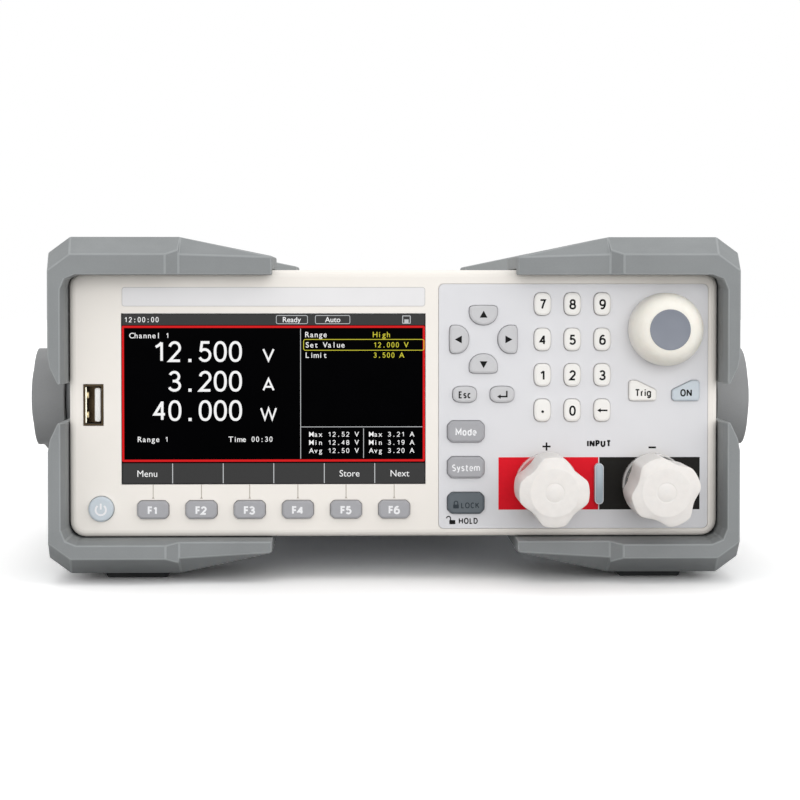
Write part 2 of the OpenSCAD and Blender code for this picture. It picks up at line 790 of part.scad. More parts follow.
module encoder_knob() {
    dome_steps = 10;
    face_r = dial_face_d / 2;
    shoulder = dial_d / 2 - face_r;
    rise = dial_h - dial_side;
    color([0.93, 0.91, 0.86]) place() translate([dial_x, dial_back, dial_z]) rotate([90, 0, 0]) difference() {
        rotate_extrude() polygon(concat(
            [[0, 0], [dial_d / 2, 0]],
            [for (s = [0:dome_steps]) let (a = 90 * s / dome_steps)
                [face_r + shoulder * cos(a), dial_side + rise * sin(a)]],
            [[0, dial_h]]));
        translate([0, 0, -past]) cylinder(r = dial_hollow_r, h = dial_hollow_l + past);
        translate([0, 0, -past]) cylinder(d = shaft_d + 2 * run_gap, h = dial_h - dial_top_wall + past);
    }
}

// Input terminals

module terminal_posts() {
    color([0.80, 0.66, 0.36]) place() for (x = [positive_x, negative_x]) {
        rod_y(x, post_z, stud_d, stud_tip, board_y + board_t + stud_tail);
        rod_y(x, post_z, flange_d, post_face, -overlay_proud);
        rod_y(x, post_z, flange_d * nut_share, bezel_t, bezel_t + nut_t);
    }
}

module terminal_washer(x) {
    place() difference() {
        rod_y(x, post_z, ring_d, ring_face, ring_face + ring_t);
        rod_y(x, post_z, stud_d + 2 * face_gap, ring_face - past, ring_face + ring_t + past);
    }
}

module positive_washer() {
    color([0.80, 0.10, 0.14]) terminal_washer(positive_x);
}

module negative_washer() {
    color([0.12, 0.12, 0.12]) terminal_washer(negative_x);
}

module terminal_knob(x, a) {
    l = terminal_proud + lobe_back;
    hull_r = lobe_r + past;
    color([0.92, 0.91, 0.90]) place() translate([x, lobe_back, post_z]) rotate([90, 0, 0]) difference() {
        intersection() {
            union() {
                cylinder(d = neck_d, h = lobe_neck + past);
                translate([0, 0, lobe_neck]) linear_extrude(l - lobe_neck) polygon(turned(lobed_points(), a));
            }
            rotate_extrude()
                polygon([[0, 0], [hull_r, 0], [hull_r, l - lobe_bevel], [lobe_face_r, l], [0, l]]);
        }
        translate([0, 0, -past]) cylinder(d = stud_d + 2 * run_gap, h = l - lobe_top_wall + past);
    }
}

module positive_knob() {
    terminal_knob(positive_x, 0);
}

module negative_knob() {
    terminal_knob(negative_x, negative_turn);
}

// Case

// Outline of the case, drawn in by g
function case_points(g) =
    moved(rounded(rect_points(body_w - 2 * g, body_h - 2 * g), case_round - g), 0, foot_h + body_h / 2);

// Bent sheet all round the case
module case_sheet() {
    difference() {
        polygon(case_points(0));
        polygon(case_points(sheet_t));
    }
}

module bottom_tray() {
    half = body_w / 2 - sheet_t;
    color([0.62, 0.63, 0.64]) place() {
        along_y(bezel_d, rear_y) intersection() {
            case_sheet();
            translate([-body_w / 2 - past, foot_h - past]) square([body_w + 2 * past, case_round + past]);
        }
        both_sides() block(half - sheet_t, half, bezel_d, rear_y, inner_z, inner_z + tray_flange);
    }
}

module top_cover() {
    vent_y = pivot_y + boss_d / 2 + 2 * vent_pitch;
    seam = case_round + face_gap;
    color([0.86, 0.85, 0.83]) place() difference() {
        along_y(bezel_d, rear_y) difference() {
            case_sheet();
            translate([-body_w / 2 - past, foot_h - past]) square([body_w + 2 * past, seam + past]);
        }
        both_sides() along_x(body_w / 2 - sheet_t - past, body_w / 2 + past)
            for (i = [0:vent_count - 1])
                translate([vent_y + i * vent_pitch, foot_h + (body_h - vent_h) / 2]) square([vent_w, vent_h]);
    }
}

// Places of the rear ports' left edges
function port_left(i) = port_x + (i == 0 ? 0 : port_left(i - 1) - port_x + PORTS[i - 1][0] + port_gap);

module rear_panel() {
    guard_r = fan_bore_r - 0.5;
    color([0.80, 0.79, 0.77]) place() along_y(rear_y, body_d) difference() {
        polygon(case_points(0));
        translate([-fan_x, fan_z]) difference() {
            circle(r = guard_r);
            for (r = [guard_step:guard_step:guard_r]) difference() {
                circle(r = r + guard_w / 2);
                circle(r = r - guard_w / 2);
            }
            circle(r = guard_w);
            square([2 * guard_r, guard_w], center = true);
            square([guard_w, 2 * guard_r], center = true);
        }
        translate([inlet_x, foot_h + inlet_lift])
            square([inlet_w + 2 * seat_gap, inlet_h + 2 * seat_gap], center = true);
        for (i = [0:len(PORTS) - 1])
            translate([port_left(i) - seat_gap, foot_h + port_lift - PORTS[i][1] / 2 - seat_gap])
                square([PORTS[i][0] + 2 * seat_gap, PORTS[i][1] + 2 * seat_gap]);
    }
}

// Bumpers

// The part of the front view that one side's two bumper blocks and legs fill
module bumper_front(far) {
    half = body_w / 2;
    inner = half - bumper_block;
    shoulder = bumper_half_w - bumper_lean;
    leg_up_z = case_top - bumper_leg_up;
    leg_low_z = foot_h + bumper_leg_low;
    up_z = leg_up_z + bumper_leg_taper;
    low_z = leg_low_z - bumper_leg_taper;
    polygon([[inner, leg_up_z], [half + tip_side, leg_up_z], [shoulder, up_z], [far, up_z + bumper_lean_l],
             [far, bumper_head + past], [inner, bumper_head + past]]);
    polygon([[inner, bumper_foot - past], [far, bumper_foot - past], [far, low_z - bumper_lean_l],
             [shoulder, low_z], [half + tip_side, leg_low_z], [inner, leg_low_z]]);
}

// Section of a bumper's arm as [y, height above or below the case], from its root outwards
function arm_section(root, face_h, full_h) =
    [[bumper_step - bumper_proud, root], [bumper_step - bumper_proud, face_h],
     [bumper_bevel_d - bumper_proud, full_h], [bumper_wrap, full_h], [bumper_wrap, root]];

// Tapering arm above or below the case: z0 is the case's edge and up its outward sign
module bumper_taper(z0, up, root, full_h) {
    half = body_w / 2;
    thin = 0.02;
    face_h = full_h - bumper_bevel_z;
    tip_face_h = min(face_h - arm_face_drop, bumper_tip_h - arm_tip_edge);
    hull() {
        along_x(half - bumper_block, half - bumper_block + thin)
            polygon([for (p = arm_section(root, face_h, full_h)) [p[0], z0 + up * p[1]]]);
        along_x(half - bumper_arm, half - bumper_arm + thin)
            polygon([for (p = arm_section(root, tip_face_h, bumper_tip_h)) [p[0], z0 + up * p[1]]]);
    }
}

module front_bumper_set() {
    half = body_w / 2;
    step_x = half - bumper_block;
    face_y = -bumper_proud;
    rear_bevel = 3;
    difference() {
        union() {
            intersection() {
                loft([[bumper_points(bumper_bevel_side, bumper_bevel_z), face_y],
                      [bumper_points(0, 0), face_y + bumper_bevel_d],
                      [bumper_points(0, 0), bumper_wrap - rear_bevel],
                      [bumper_points(bumper_bevel_side, rear_bevel), bumper_wrap]]);
                both_sides() along_y(face_y - past, bumper_wrap + past) bumper_front(bumper_half_w + past);
            }
            both_sides() {
                bumper_taper(case_top, 1, -hood_drop, bumper_top);
                bumper_taper(foot_h, -1, bumper_fit, bumper_bottom);
            }
        }
        along_y(-hood_gap, bumper_wrap + past) polygon(bumper_pocket(0, 0));
        along_y(face_y - past, 0) polygon(bumper_pocket(0, hood_drop));
        loft([[bumper_pocket(bumper_lip, hood_drop + bumper_lip), face_y],
              [bumper_pocket(0, hood_drop), face_y + lip_l]]);
        both_sides() translate([0, 0, bumper_foot - past])
            linear_extrude(bumper_head - bumper_foot + 2 * past)
                polygon([[step_x - past, face_y - past], [step_x + bumper_slant, face_y - past],
                         [step_x + bumper_slant, face_y], [step_x, face_y + bumper_step],
                         [step_x - past, face_y + bumper_step]]);
    }
}

// Opening that the bumpers leave for the case, grown by g and with its upper edge lowered by drop
function bumper_pocket(g, drop) =
    let (rim = 2 * (bumper_fit + g))
    moved(rounded(rect_points(body_w + rim, body_h + rim - drop), pocket_round + g), 0,
          foot_h + (body_h - drop) / 2);

module front_bumpers() {
    color([0.57, 0.58, 0.58]) place() front_bumper_set();
}

module rear_bumpers() {
    color([0.57, 0.58, 0.58]) place() translate([0, body_d, 0]) mirror([0, 1, 0]) front_bumper_set();
}

module feet() {
    half = body_w / 2;
    foot_y = bumper_wrap - foot_l - 4;
    slope = 1;
    color([0.14, 0.15, 0.15]) place() both_sides() for (y = [foot_y, body_d - foot_y - foot_l])
        along_y(y, y + foot_l)
            polygon([[half - foot_x - foot_w + slope, 0], [half - foot_x - slope, 0],
                     [half - foot_x, foot_t], [half - foot_x - foot_w, foot_t]]);
}

// Handle

module handle_arm() {
    dy = bar_y - pivot_y;
    dz = bar_z - pivot_z;
    run = norm([dy, dz]);
    across = [-dz, dy] / run;
    hub_half = arm_narrow * hub_d / 2;
    end_half = arm_narrow * arm_end_d / 2;
    pivot = [pivot_y, pivot_z];
    bar = [bar_y, bar_z];
    difference() {
        union() {
            rod_x(pivot_y, pivot_z, hub_d, arm_in, arm_out);
            rod_x(pivot_y, pivot_z, hub_cap_d, arm_out - past, arm_out + hub_cap_t);
            intersection() {
                union() {
                    along_x(arm_in + arm_end_trim, arm_out - arm_end_trim)
                        polygon([pivot - hub_half * across, bar - end_half * across,
                                 bar + end_half * across, pivot + hub_half * across]);
                    rod_x(bar_y, bar_z, arm_end_d, arm_in + arm_end_trim, arm_out - arm_end_trim);
                }
                block(arm_in, arm_out, 0, body_d, bar_z - bar_d / 2, case_top);
            }
        }
        rod_x(pivot_y, pivot_z, pivot_d + 2 * run_gap, arm_in - past, arm_out - 2 * arm_end_trim);
    }
}

module handle() {
    color([0.45, 0.46, 0.46]) place() {
        both_sides() handle_arm();
        rod_x(bar_y, bar_z, bar_d, -arm_in - arm_t / 2, arm_in + arm_t / 2);
    }
}

module handle_pivots() {
    color([0.30, 0.31, 0.32]) place() both_sides() {
        rod_x(pivot_y, pivot_z, boss_d, body_w / 2, arm_in - face_gap);
        rod_x(pivot_y, pivot_z, pivot_d, arm_in - face_gap - past, arm_out - 2 * arm_end_trim - face_gap);
    }
}

// Inside and rear

module heat_sink() {
    sink_rear = rear_y - fan_t - sink_rear_gap;
    pitch = (sink_w - sink_fin_t) / (sink_fins - 1);
    color([0.72, 0.73, 0.74]) place() along_y(sink_rear - sink_l, sink_rear)
        translate([-fan_x - sink_w / 2, inner_z]) {
            square([sink_w, sink_base]);
            for (i = [0:sink_fins - 1]) translate([i * pitch, 0]) square([sink_fin_t, sink_h]);
        }
}

module fan_frame() {
    front = rear_y - fan_t;
    strut_w = 4;
    color([0.12, 0.12, 0.13]) place() {
        along_y(front, rear_y) translate([-fan_x, fan_z]) difference() {
            square(fan_size, center = true);
            circle(r = fan_bore_r);
        }
        along_y(rear_y - fan_base_t, rear_y) translate([-fan_x, fan_z]) {
            circle(r = fan_hub_r);
            for (a = [45:90:315]) rotate(a) translate([0, -strut_w / 2]) square([fan_bore_r + past, strut_w]);
        }
        rod_y(-fan_x, fan_z, 2 * fan_pin_r, front + fan_base_t, rear_y - fan_base_t);
    }
}

module fan_rotor() {
    front = rear_y - fan_t + past;
    back = rear_y - fan_base_t - face_gap;
    chord = (back - front) / cos(blade_pitch) - blade_t;
    color([0.20, 0.20, 0.21]) place() difference() {
        union() {
            rod_y(-fan_x, fan_z, 2 * fan_hub_r, front, back);
            intersection() {
                rod_y(-fan_x, fan_z, 2 * (fan_bore_r - blade_gap), front, back);
                translate([-fan_x, (front + back) / 2, fan_z]) for (i = [0:fan_blades - 1])
                    rotate([0, i * 360 / fan_blades, 0]) rotate([0, 0, blade_pitch])
                        translate([-blade_t / 2, -chord / 2, 0]) cube([blade_t, chord, fan_bore_r]);
            }
        }
        rod_y(-fan_x, fan_z, 2 * (fan_pin_r + run_gap), front + fan_base_t - face_gap - past, back + past);
    }
}

// Right half of the tray, where the two inner boards stand
inner_x = body_w / 2 - 2 * sheet_t - inner_w - 3;

// Board on standoffs, with the lower corner of its plate at [inner_x, y]
module tray_board(y, l) {
    board_in = 5;
    top = inner_z + standoff_h;
    block(inner_x, inner_x + inner_w, y, y + l, top, top + board_t);
    for (dx = [board_in, inner_w - board_in]) for (dy = [board_in, l - board_in])
        translate([inner_x + dx, y + dy, inner_z]) cylinder(r = standoff_r, h = standoff_h + board_t);
}

module main_board() {
    y = board_front;
    top = inner_z + standoff_h;
    can_d = 18;
    can_h = 30;
    can_in = 22;
    chip_w = 22;
    chip_h = 8;
    chip_in = 44;
    color([0.10, 0.38, 0.22]) place() {
        tray_board(y, main_l);
        for (i = [1:3])
            translate([inner_x + can_in, y + main_l * i / 4, top]) cylinder(d = can_d, h = can_h);
        for (i = [0.5:1:3.5])
            translate([inner_x + chip_in, y + main_l * i / 4 - chip_w / 2, top])
                cube([chip_w, chip_w, chip_h]);
    }
}

module power_supply() {
    y = supply_rear - supply_l;
    top = inner_z + standoff_h;
    core_w = 36;
    core_h = 34;
    core_in = 8;
    can_d = 22;
    can_in = 60;
    color([0.72, 0.55, 0.20]) place() {
        tray_board(y, supply_l);
        translate([inner_x + core_in, y + (supply_l - core_w) / 2, top]) cube([core_w, core_w, core_h]);
        for (i = [1:2])
            translate([inner_x + can_in, y + supply_l * i / 3, top]) cylinder(d = can_d, h = core_h);
    }
}

module mains_inlet() {
    z = foot_h + inlet_lift;
    mouth = [inlet_w - 2 * inlet_wall, inlet_h - 2 * inlet_wall];
    floor_y = body_d + inlet_flange_t - inlet_l + inlet_wall;
    pin_step = 7;
    pin_rise = 2;
    color([0.10, 0.10, 0.11]) place() {
        difference() {
            union() {
                along_y(body_d + inlet_flange_t - inlet_l, body_d) translate([inlet_x, z])
                    square([inlet_w, inlet_h], center = true);
                along_y(body_d, body_d + inlet_flange_t) translate([inlet_x, z])
                    square([inlet_w + 2 * inlet_flange, inlet_h + 2 * inlet_flange], center = true);
            }
            along_y(floor_y, body_d + inlet_flange_t + past)
                translate([inlet_x, z]) square(mouth, center = true);
        }
        for (i = [-1:1]) along_y(floor_y - past, floor_y + inlet_pin_l)
            translate([inlet_x + i * pin_step, z + (i == 0 ? pin_rise : -pin_rise)])
                square(inlet_pin, center = true);
    }
}

module rear_connectors() {
    z = foot_h + port_lift;
    proud = 1;
    color([0.66, 0.67, 0.68]) place() for (i = [0:len(PORTS) - 1]) difference() {
        along_y(body_d + proud - port_l, body_d + proud)
            translate([port_left(i), z - PORTS[i][1] / 2]) square([PORTS[i][0], PORTS[i][1]]);
        along_y(body_d + proud - PORTS[i][2], body_d + proud + past)
            translate([port_left(i) + port_wall, z - PORTS[i][1] / 2 + port_wall])
                square([PORTS[i][0] - 2 * port_wall, PORTS[i][1] - 2 * port_wall]);
    }
}

for (k = KEYS) key(k);
front_bezel();
control_panel();
lcd_window();
lcd_module();
usb_socket();
dome_mat();
front_board();
encoder_body();
encoder_shaft();
encoder_knob();
terminal_posts();
positive_washer();
negative_washer();
positive_knob();
negative_knob();
bottom_tray();
top_cover();
rear_panel();
front_bumpers();
rear_bumpers();
feet();
handle();
handle_pivots();
heat_sink();
fan_frame();
fan_rotor();
main_board();
power_supply();
mains_inlet();
rear_connectors();
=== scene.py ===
"""Looks of a bench DC electronic load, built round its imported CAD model."""
import json
import math

import bmesh
import bpy
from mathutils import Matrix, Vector


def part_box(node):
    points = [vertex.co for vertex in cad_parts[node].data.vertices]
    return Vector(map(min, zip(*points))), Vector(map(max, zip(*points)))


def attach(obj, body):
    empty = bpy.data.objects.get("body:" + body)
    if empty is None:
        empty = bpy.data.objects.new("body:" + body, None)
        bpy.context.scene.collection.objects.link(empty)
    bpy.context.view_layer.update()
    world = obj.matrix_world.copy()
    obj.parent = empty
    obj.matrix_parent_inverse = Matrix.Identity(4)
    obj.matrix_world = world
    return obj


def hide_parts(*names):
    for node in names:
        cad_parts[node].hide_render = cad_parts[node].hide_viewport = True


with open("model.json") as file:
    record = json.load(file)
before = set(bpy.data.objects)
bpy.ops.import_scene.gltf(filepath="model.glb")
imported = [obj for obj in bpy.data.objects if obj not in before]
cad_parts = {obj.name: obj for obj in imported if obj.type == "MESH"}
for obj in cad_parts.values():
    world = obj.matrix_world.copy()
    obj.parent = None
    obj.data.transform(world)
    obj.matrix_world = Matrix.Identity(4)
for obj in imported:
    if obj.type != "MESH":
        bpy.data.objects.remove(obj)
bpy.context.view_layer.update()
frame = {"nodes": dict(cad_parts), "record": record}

MM = 0.001
NODES = frame["nodes"]


# Places read from the frame, in millimetres

def box_mm(node):
    """Lowest and highest corner of a CAD node, in millimetres."""
    low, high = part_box(node)
    return low / MM, high / MM


def middle_mm(node):
    low, high = box_mm(node)
    return (low + high) / 2


PANEL_Y = box_mm("front_bezel")[0].y
OVERLAY_PROUD = 0.2
OVERLAY_Y = PANEL_Y - OVERLAY_PROUD
KEY_Y = box_mm("key_7")[0].y
SCREEN_LOW, SCREEN_HIGH = box_mm("lcd_window")
SCREEN_W = SCREEN_HIGH.x - SCREEN_LOW.x
SCREEN_H = SCREEN_HIGH.z - SCREEN_LOW.z
REAR_Y = box_mm("rear_panel")[1].y
# Thickness of printed artwork, and the rise from one shape to the next, which starts again after a cycle
PRINT_T = 0.04
COAT_T, COAT_CYCLE = 0.003, 7


# Materials

def srgb(r, g, b):
    """Linear colour of an 8-bit screen colour."""
    parts = [c / 255 for c in (r, g, b)]
    return [c / 12.92 if c <= 0.04045 else ((c + 0.055) / 1.055) ** 2.4 for c in parts] + [1]


def shade(colour, factor):
    return [min(1, c * factor) for c in colour[:3]] + [1]


def set_inputs(node, values):
    for name, value in values.items():
        node.inputs[name].default_value = value


class Finish:
    """A procedural material in the making, with its textures in object space."""

    def __init__(self, name, rough, metal=0.0, gloss=0.5):
        self.material = bpy.data.materials.new(name)
        self.material.use_nodes = True
        self.tree = self.material.node_tree
        self.shader = self.tree.nodes["Principled BSDF"]
        set_inputs(self.shader, {"Metallic": metal, "Specular IOR Level": gloss})
        self.rough = rough
        self.place = self.node("ShaderNodeTexCoord").outputs["Object"]

    def node(self, kind):
        return self.tree.nodes.new(kind)

    def link(self, source, target):
        self.tree.links.new(source, target)

    def noise(self, size, detail=3, stretch=(1, 1, 1)):
        """Noise whose grains are about size millimetres, drawn out by stretch."""
        scaled = self.node("ShaderNodeMapping")
        scaled.inputs["Scale"].default_value = [1 / s for s in stretch]
        self.link(self.place, scaled.inputs["Vector"])
        made = self.node("ShaderNodeTexNoise")
        set_inputs(made, {"Scale": 1 / (size * MM), "Detail": detail})
        self.link(scaled.outputs["Vector"], made.inputs["Vector"])
        return made.outputs["Fac"]

    def ramp(self, source, low, high):
        """Source stretched from noise's middle range to low..high."""
        made = self.node("ShaderNodeMapRange")
        set_inputs(made, {"From Min": 0.3, "From Max": 0.7, "To Min": low, "To Max": high})
        self.link(source, made.inputs["Value"])
        return made.outputs["Result"]

    def mix(self, factor, a, b):
        made = self.node("ShaderNodeMix")
        made.data_type = "RGBA"
        self.link(factor, made.inputs["Factor"])
        for socket, value in ((made.inputs[6], a), (made.inputs[7], b)):
            if isinstance(value, bpy.types.NodeSocket):
                self.link(value, socket)
            else:
                socket.default_value = value
        return made.outputs[2]

    def colour(self, colour, tint, size):
        """Base colour that wanders by tint over patches of about size millimetres."""
        patch = self.mix(self.ramp(self.noise(size), 0, 1), shade(colour, 1 - tint), shade(colour, 1 + tint))
        self.link(patch, self.shader.inputs["Base Color"])
        return patch

    def roughness(self, spread, size, stretch=(1, 1, 1)):
        made = self.ramp(self.noise(size, 4, stretch), self.rough - spread, self.rough + spread)
        self.link(made, self.shader.inputs["Roughness"])

    def bump(self, depth, size, stretch=(1, 1, 1)):
        """Surface grain depth millimetres deep."""
        made = self.node("ShaderNodeBump")
        set_inputs(made, {"Strength": 0.6, "Distance": depth * MM})
        self.link(self.noise(size, 4, stretch), made.inputs["Height"])
        self.link(made.outputs["Normal"], self.shader.inputs["Normal"])


def coated(name, colour, rough, gloss, patch, uneven, grain, metal=0.0):
    """Finish with uneven colour, uneven roughness and a grain, each an amount and a size in millimetres."""
    made = Finish(name, rough, metal, gloss)
    made.base = made.colour(colour, *patch)
    made.roughness(*uneven)
    made.bump(*grain)
    return made


def moulded(name, colour, rough, tint, patch, grain=0.012, grain_size=0.35, gloss=0.4):
    """Moulded plastic or paint with a fine spark-eroded grain."""
    return coated(name, colour, rough, gloss, (tint, patch), (0.06, 3), (grain, grain_size)).material


def rubber(name, colour):
    """Matt elastomer with a coarser grain, dusty patches and paler rubbed speckles."""
    made = coated(name, colour, 0.66, 0.3, (0.05, 22), (0.07, 5), (0.03, 0.55))
    speck = made.ramp(made.noise(0.5, 6), 0, 0.16)
    made.link(made.mix(speck, made.base, shade(colour, 1.25)), made.shader.inputs["Base Color"])
    return made.material


def brushed(name, colour, rough=0.32, along=(1, 30, 1)):
    """Metal with fine lines drawn out in one direction."""
    return coated(name, colour, rough, 0.5, (0.07, 4), (0.1, 0.3, along), (0.004, 0.2, along), 1.0).material


def ink(name, colour, rough=0.55):
    """Screen-printed ink, with the slight unevenness of its coat."""
    return coated(name, colour, rough, 0.1, (0.03, 1.5), (0.05, 0.6), (0.003, 0.15)).material


def lit(name, colour):
    """Lit part of the display, a little uneven from pixel to pixel."""
    made = Finish(name, 0.4, gloss=0.05)
    glow = made.mix(made.ramp(made.noise(0.25, 2), 0, 1), shade(colour, 0.93), colour)
    made.link(glow, made.shader.inputs["Emission Color"])
    set_inputs(made.shader, {"Emission Strength": 1.0, "Base Color": (0.0, 0.0, 0.0, 1)})
    made.roughness(0.05, 2)
    return made.material


def dark_glass(name, colour):
    """Black display under its clear cover."""
    return coated(name, colour, 0.16, 0.005, (0.2, 9), (0.03, 20), (0.002, 8)).material


def milky(name, colour, weight=0.25, depth=0.8):
    """Translucent plastic that scatters light below its surface, about depth millimetres deep."""
    made = coated(name, colour, 0.36, 0.45, (0.02, 2), (0.05, 2), (0.003, 0.4))
    set_inputs(made.shader, {"Subsurface Weight": weight, "Subsurface Radius": (0.9, 1.0, 1.1),
                             "Subsurface Scale": depth * MM})
    return made.material


def clear(name, colour, alpha):
    """Clear plastic with a faint haze."""
    made = coated(name, colour, 0.16, 0.5, (0.02, 2), (0.05, 2), (0.003, 0.4))
    set_inputs(made.shader, {"Alpha": alpha})
    return made.material


BUMPER_GREY = 138, 141, 142
KEY_GRAIN = 5, 0.006, 0.3
CASE_PAINT = 0.7, 0.015, 40, 0.03, 0.7, 0.08
# Kind of finish of each material slot, its colour and the further values of that kind
FINISH_ROWS = {
    "key_white": (moulded, (241, 239, 235), 0.42, 0.012, *KEY_GRAIN),
    "key_pale": (moulded, (201, 201, 203), 0.44, 0.015, *KEY_GRAIN),
    "key_grey": (moulded, (166, 166, 170), 0.44, 0.02, *KEY_GRAIN),
    "key_dark": (moulded, (85, 93, 99), 0.46, 0.03, *KEY_GRAIN),
    "key_blue": (milky, (202, 211, 218)),
    "bezel_plastic": (moulded, (244, 239, 232), 0.5, 0.012, 30, 0.01, 0.4),
    "overlay_plastic": (moulded, (223, 223, 226), 0.46, 0.01, 25, 0.006, 0.25),
    "screen_cover": (dark_glass, (2, 2, 3)),
    "module_metal": (brushed, (176, 178, 182)),
    # Dark brown shell metal, darker than a bare socket shell: painted shade of the gap between the bezel and
    # the shell.
    "socket_metal": (brushed, (60, 50, 37), 0.34, (1, 12, 1)),
    "silicone": (rubber, (72, 73, 76)),
    "circuit_board": (moulded, (24, 92, 54), 0.35, 0.15, 6, 0.02, 1.2),
    "encoder_metal": (brushed, (176, 176, 178)),
    "shaft_steel": (brushed, (196, 196, 198)),
    "dial_plastic": (milky, (248, 243, 233), 0.5, 2.5),
    "post_brass": (brushed, (206, 178, 110), 0.25, (1, 8, 1)),
    "ring_red": (clear, (236, 226, 224), 0.15),
    "ring_black": (clear, (226, 228, 228), 0.15),
    "knob_white": (milky, (234, 230, 226)),
    "tray_steel": (brushed, (178, 180, 183), 0.42, (1, 40, 1)),
    "cover_paint": (moulded, (228, 226, 221), *CASE_PAINT),
    "rear_paint": (moulded, (226, 224, 219), *CASE_PAINT),
    "bumper_rubber": (rubber, BUMPER_GREY),
    "foot_rubber": (rubber, (40, 42, 43)),
    "handle_plastic": (rubber, (146, 147, 148)),
    "pivot_plastic": (moulded, (134, 136, 138), 0.5, 0.03, 8),
    "sink_aluminium": (brushed, (200, 202, 205)),
    "fan_plastic": (moulded, (38, 38, 40), 0.5, 0.05, 10),
    "rotor_plastic": (moulded, (46, 46, 48), 0.42, 0.05, 8),
    "supply_mixed": (moulded, (190, 150, 78), 0.45, 0.12, 10, 0.03, 1.5),
    "inlet_plastic": (moulded, (34, 34, 36), 0.45, 0.05, 8),
    "port_metal": (brushed, (190, 192, 196), 0.3, (12, 1, 1)),
}
FINISHES = {name: kind(name, srgb(*colour), *values) for name, (kind, colour, *values) in FINISH_ROWS.items()}
BLACK_INK = ink("black_ink", srgb(14, 14, 15))
WHITE_INK = ink("white_ink", srgb(244, 244, 246))


# Finish of the CAD nodes

def soften(node, radius, highlight_finish=None, clamp=True):
    """Rounds the sharp edges of a CAD node; a highlight finish, where given, goes on the rounded edges as a
    painted highlight.
    """
    part = NODES[node]
    weld = part.modifiers.new("weld", "WELD")
    weld.merge_threshold = 0.05 * MM
    flat = part.modifiers.new("flat", "DECIMATE")
    flat.decimate_type = "DISSOLVE"
    flat.angle_limit = math.radians(0.5)
    edge = part.modifiers.new("edge", "BEVEL")
    edge.width = radius * MM
    edge.segments = 3
    edge.limit_method = "ANGLE"
    edge.angle_limit = math.radians(28)
    edge.harden_normals = True
    edge.use_clamp_overlap = clamp
    # Paler finish on the rounded edges: a painted highlight along the edges.
    if highlight_finish:
        part.data.materials.append(highlight_finish)
        edge.material = 1


# Drawing on flat faces, in X and Z millimetres

def arc(x, z, r, start, end, steps):
    """Points of an arc, with its angles in degrees."""
    turn = (end - start) / steps
    angles = [math.radians(start + turn * i) for i in range(steps + 1)]
    return [(x + r * math.cos(a), z + r * math.sin(a)) for a in angles]


def circle(x, z, r, steps):
    return arc(x, z, r, 0, 360, steps)[:-1]


def rounded_rect(x0, z0, x1, z1, r, steps=6):
    corners = ((x1 - r, z1 - r, 0), (x0 + r, z1 - r, 90), (x0 + r, z0 + r, 180), (x1 - r, z0 + r, 270))
    return [p for x, z, start in corners for p in arc(x, z, r, start, start + 90, steps)]


def rect(x0, z0, x1, z1):
    return [(x0, z0), (x1, z0), (x1, z1), (x0, z1)]


def box_round(x, z, half_w, half_h):
    """A box of x0, z0, x1 and z1 round its middle."""
    return x - half_w, z - half_h, x + half_w, z + half_h


def drawn_box(box, d):
    """A box of x0, z0, x1 and z1 drawn in by d."""
    x0, z0, x1, z1 = box
    return x0 + d, z0 + d, x1 - d, z1 - d


def shifted(points, d, closed, limit):
    """A line moved to its left by d and mitred at its bends, the sharp ones up to a limit."""
    moved = []
    ends = points[-1:] + points + points[:1] if closed else points[:1] + points + points[-1:]
    for before, (x, z), after in zip(ends, points, ends[2:]):
        runs = [Vector(b) - Vector(a) for a, b in ((before, (x, z)), ((x, z), after)) if a != b]
        normals = [Vector((-r.y, r.x)).normalized() for r in runs]
        mitre = sum(normals, Vector((0, 0))).normalized()
        reach = d / max(limit, mitre.dot(normals[0]))
        moved.append((x + mitre.x * reach, z + mitre.y * reach))
    return moved


def bow(x, z, rx, rz, start, end):
    """Points of an oval's arc, with its angles in degrees."""
    return [(x + rx * u, z + rz * v) for u, v in arc(0, 0, 1, start, end, 14)]


OVAL_POWER = 2.3


def oval(x, z, rx, rz):
    """A closed oval, a little squarer than an ellipse."""
    def squarer(value):
        return math.copysign(abs(value) ** (2 / OVAL_POWER), value)

    return [(x + rx * squarer(u), z + rz * squarer(v)) for u, v in circle(0, 0, 1, 36)]


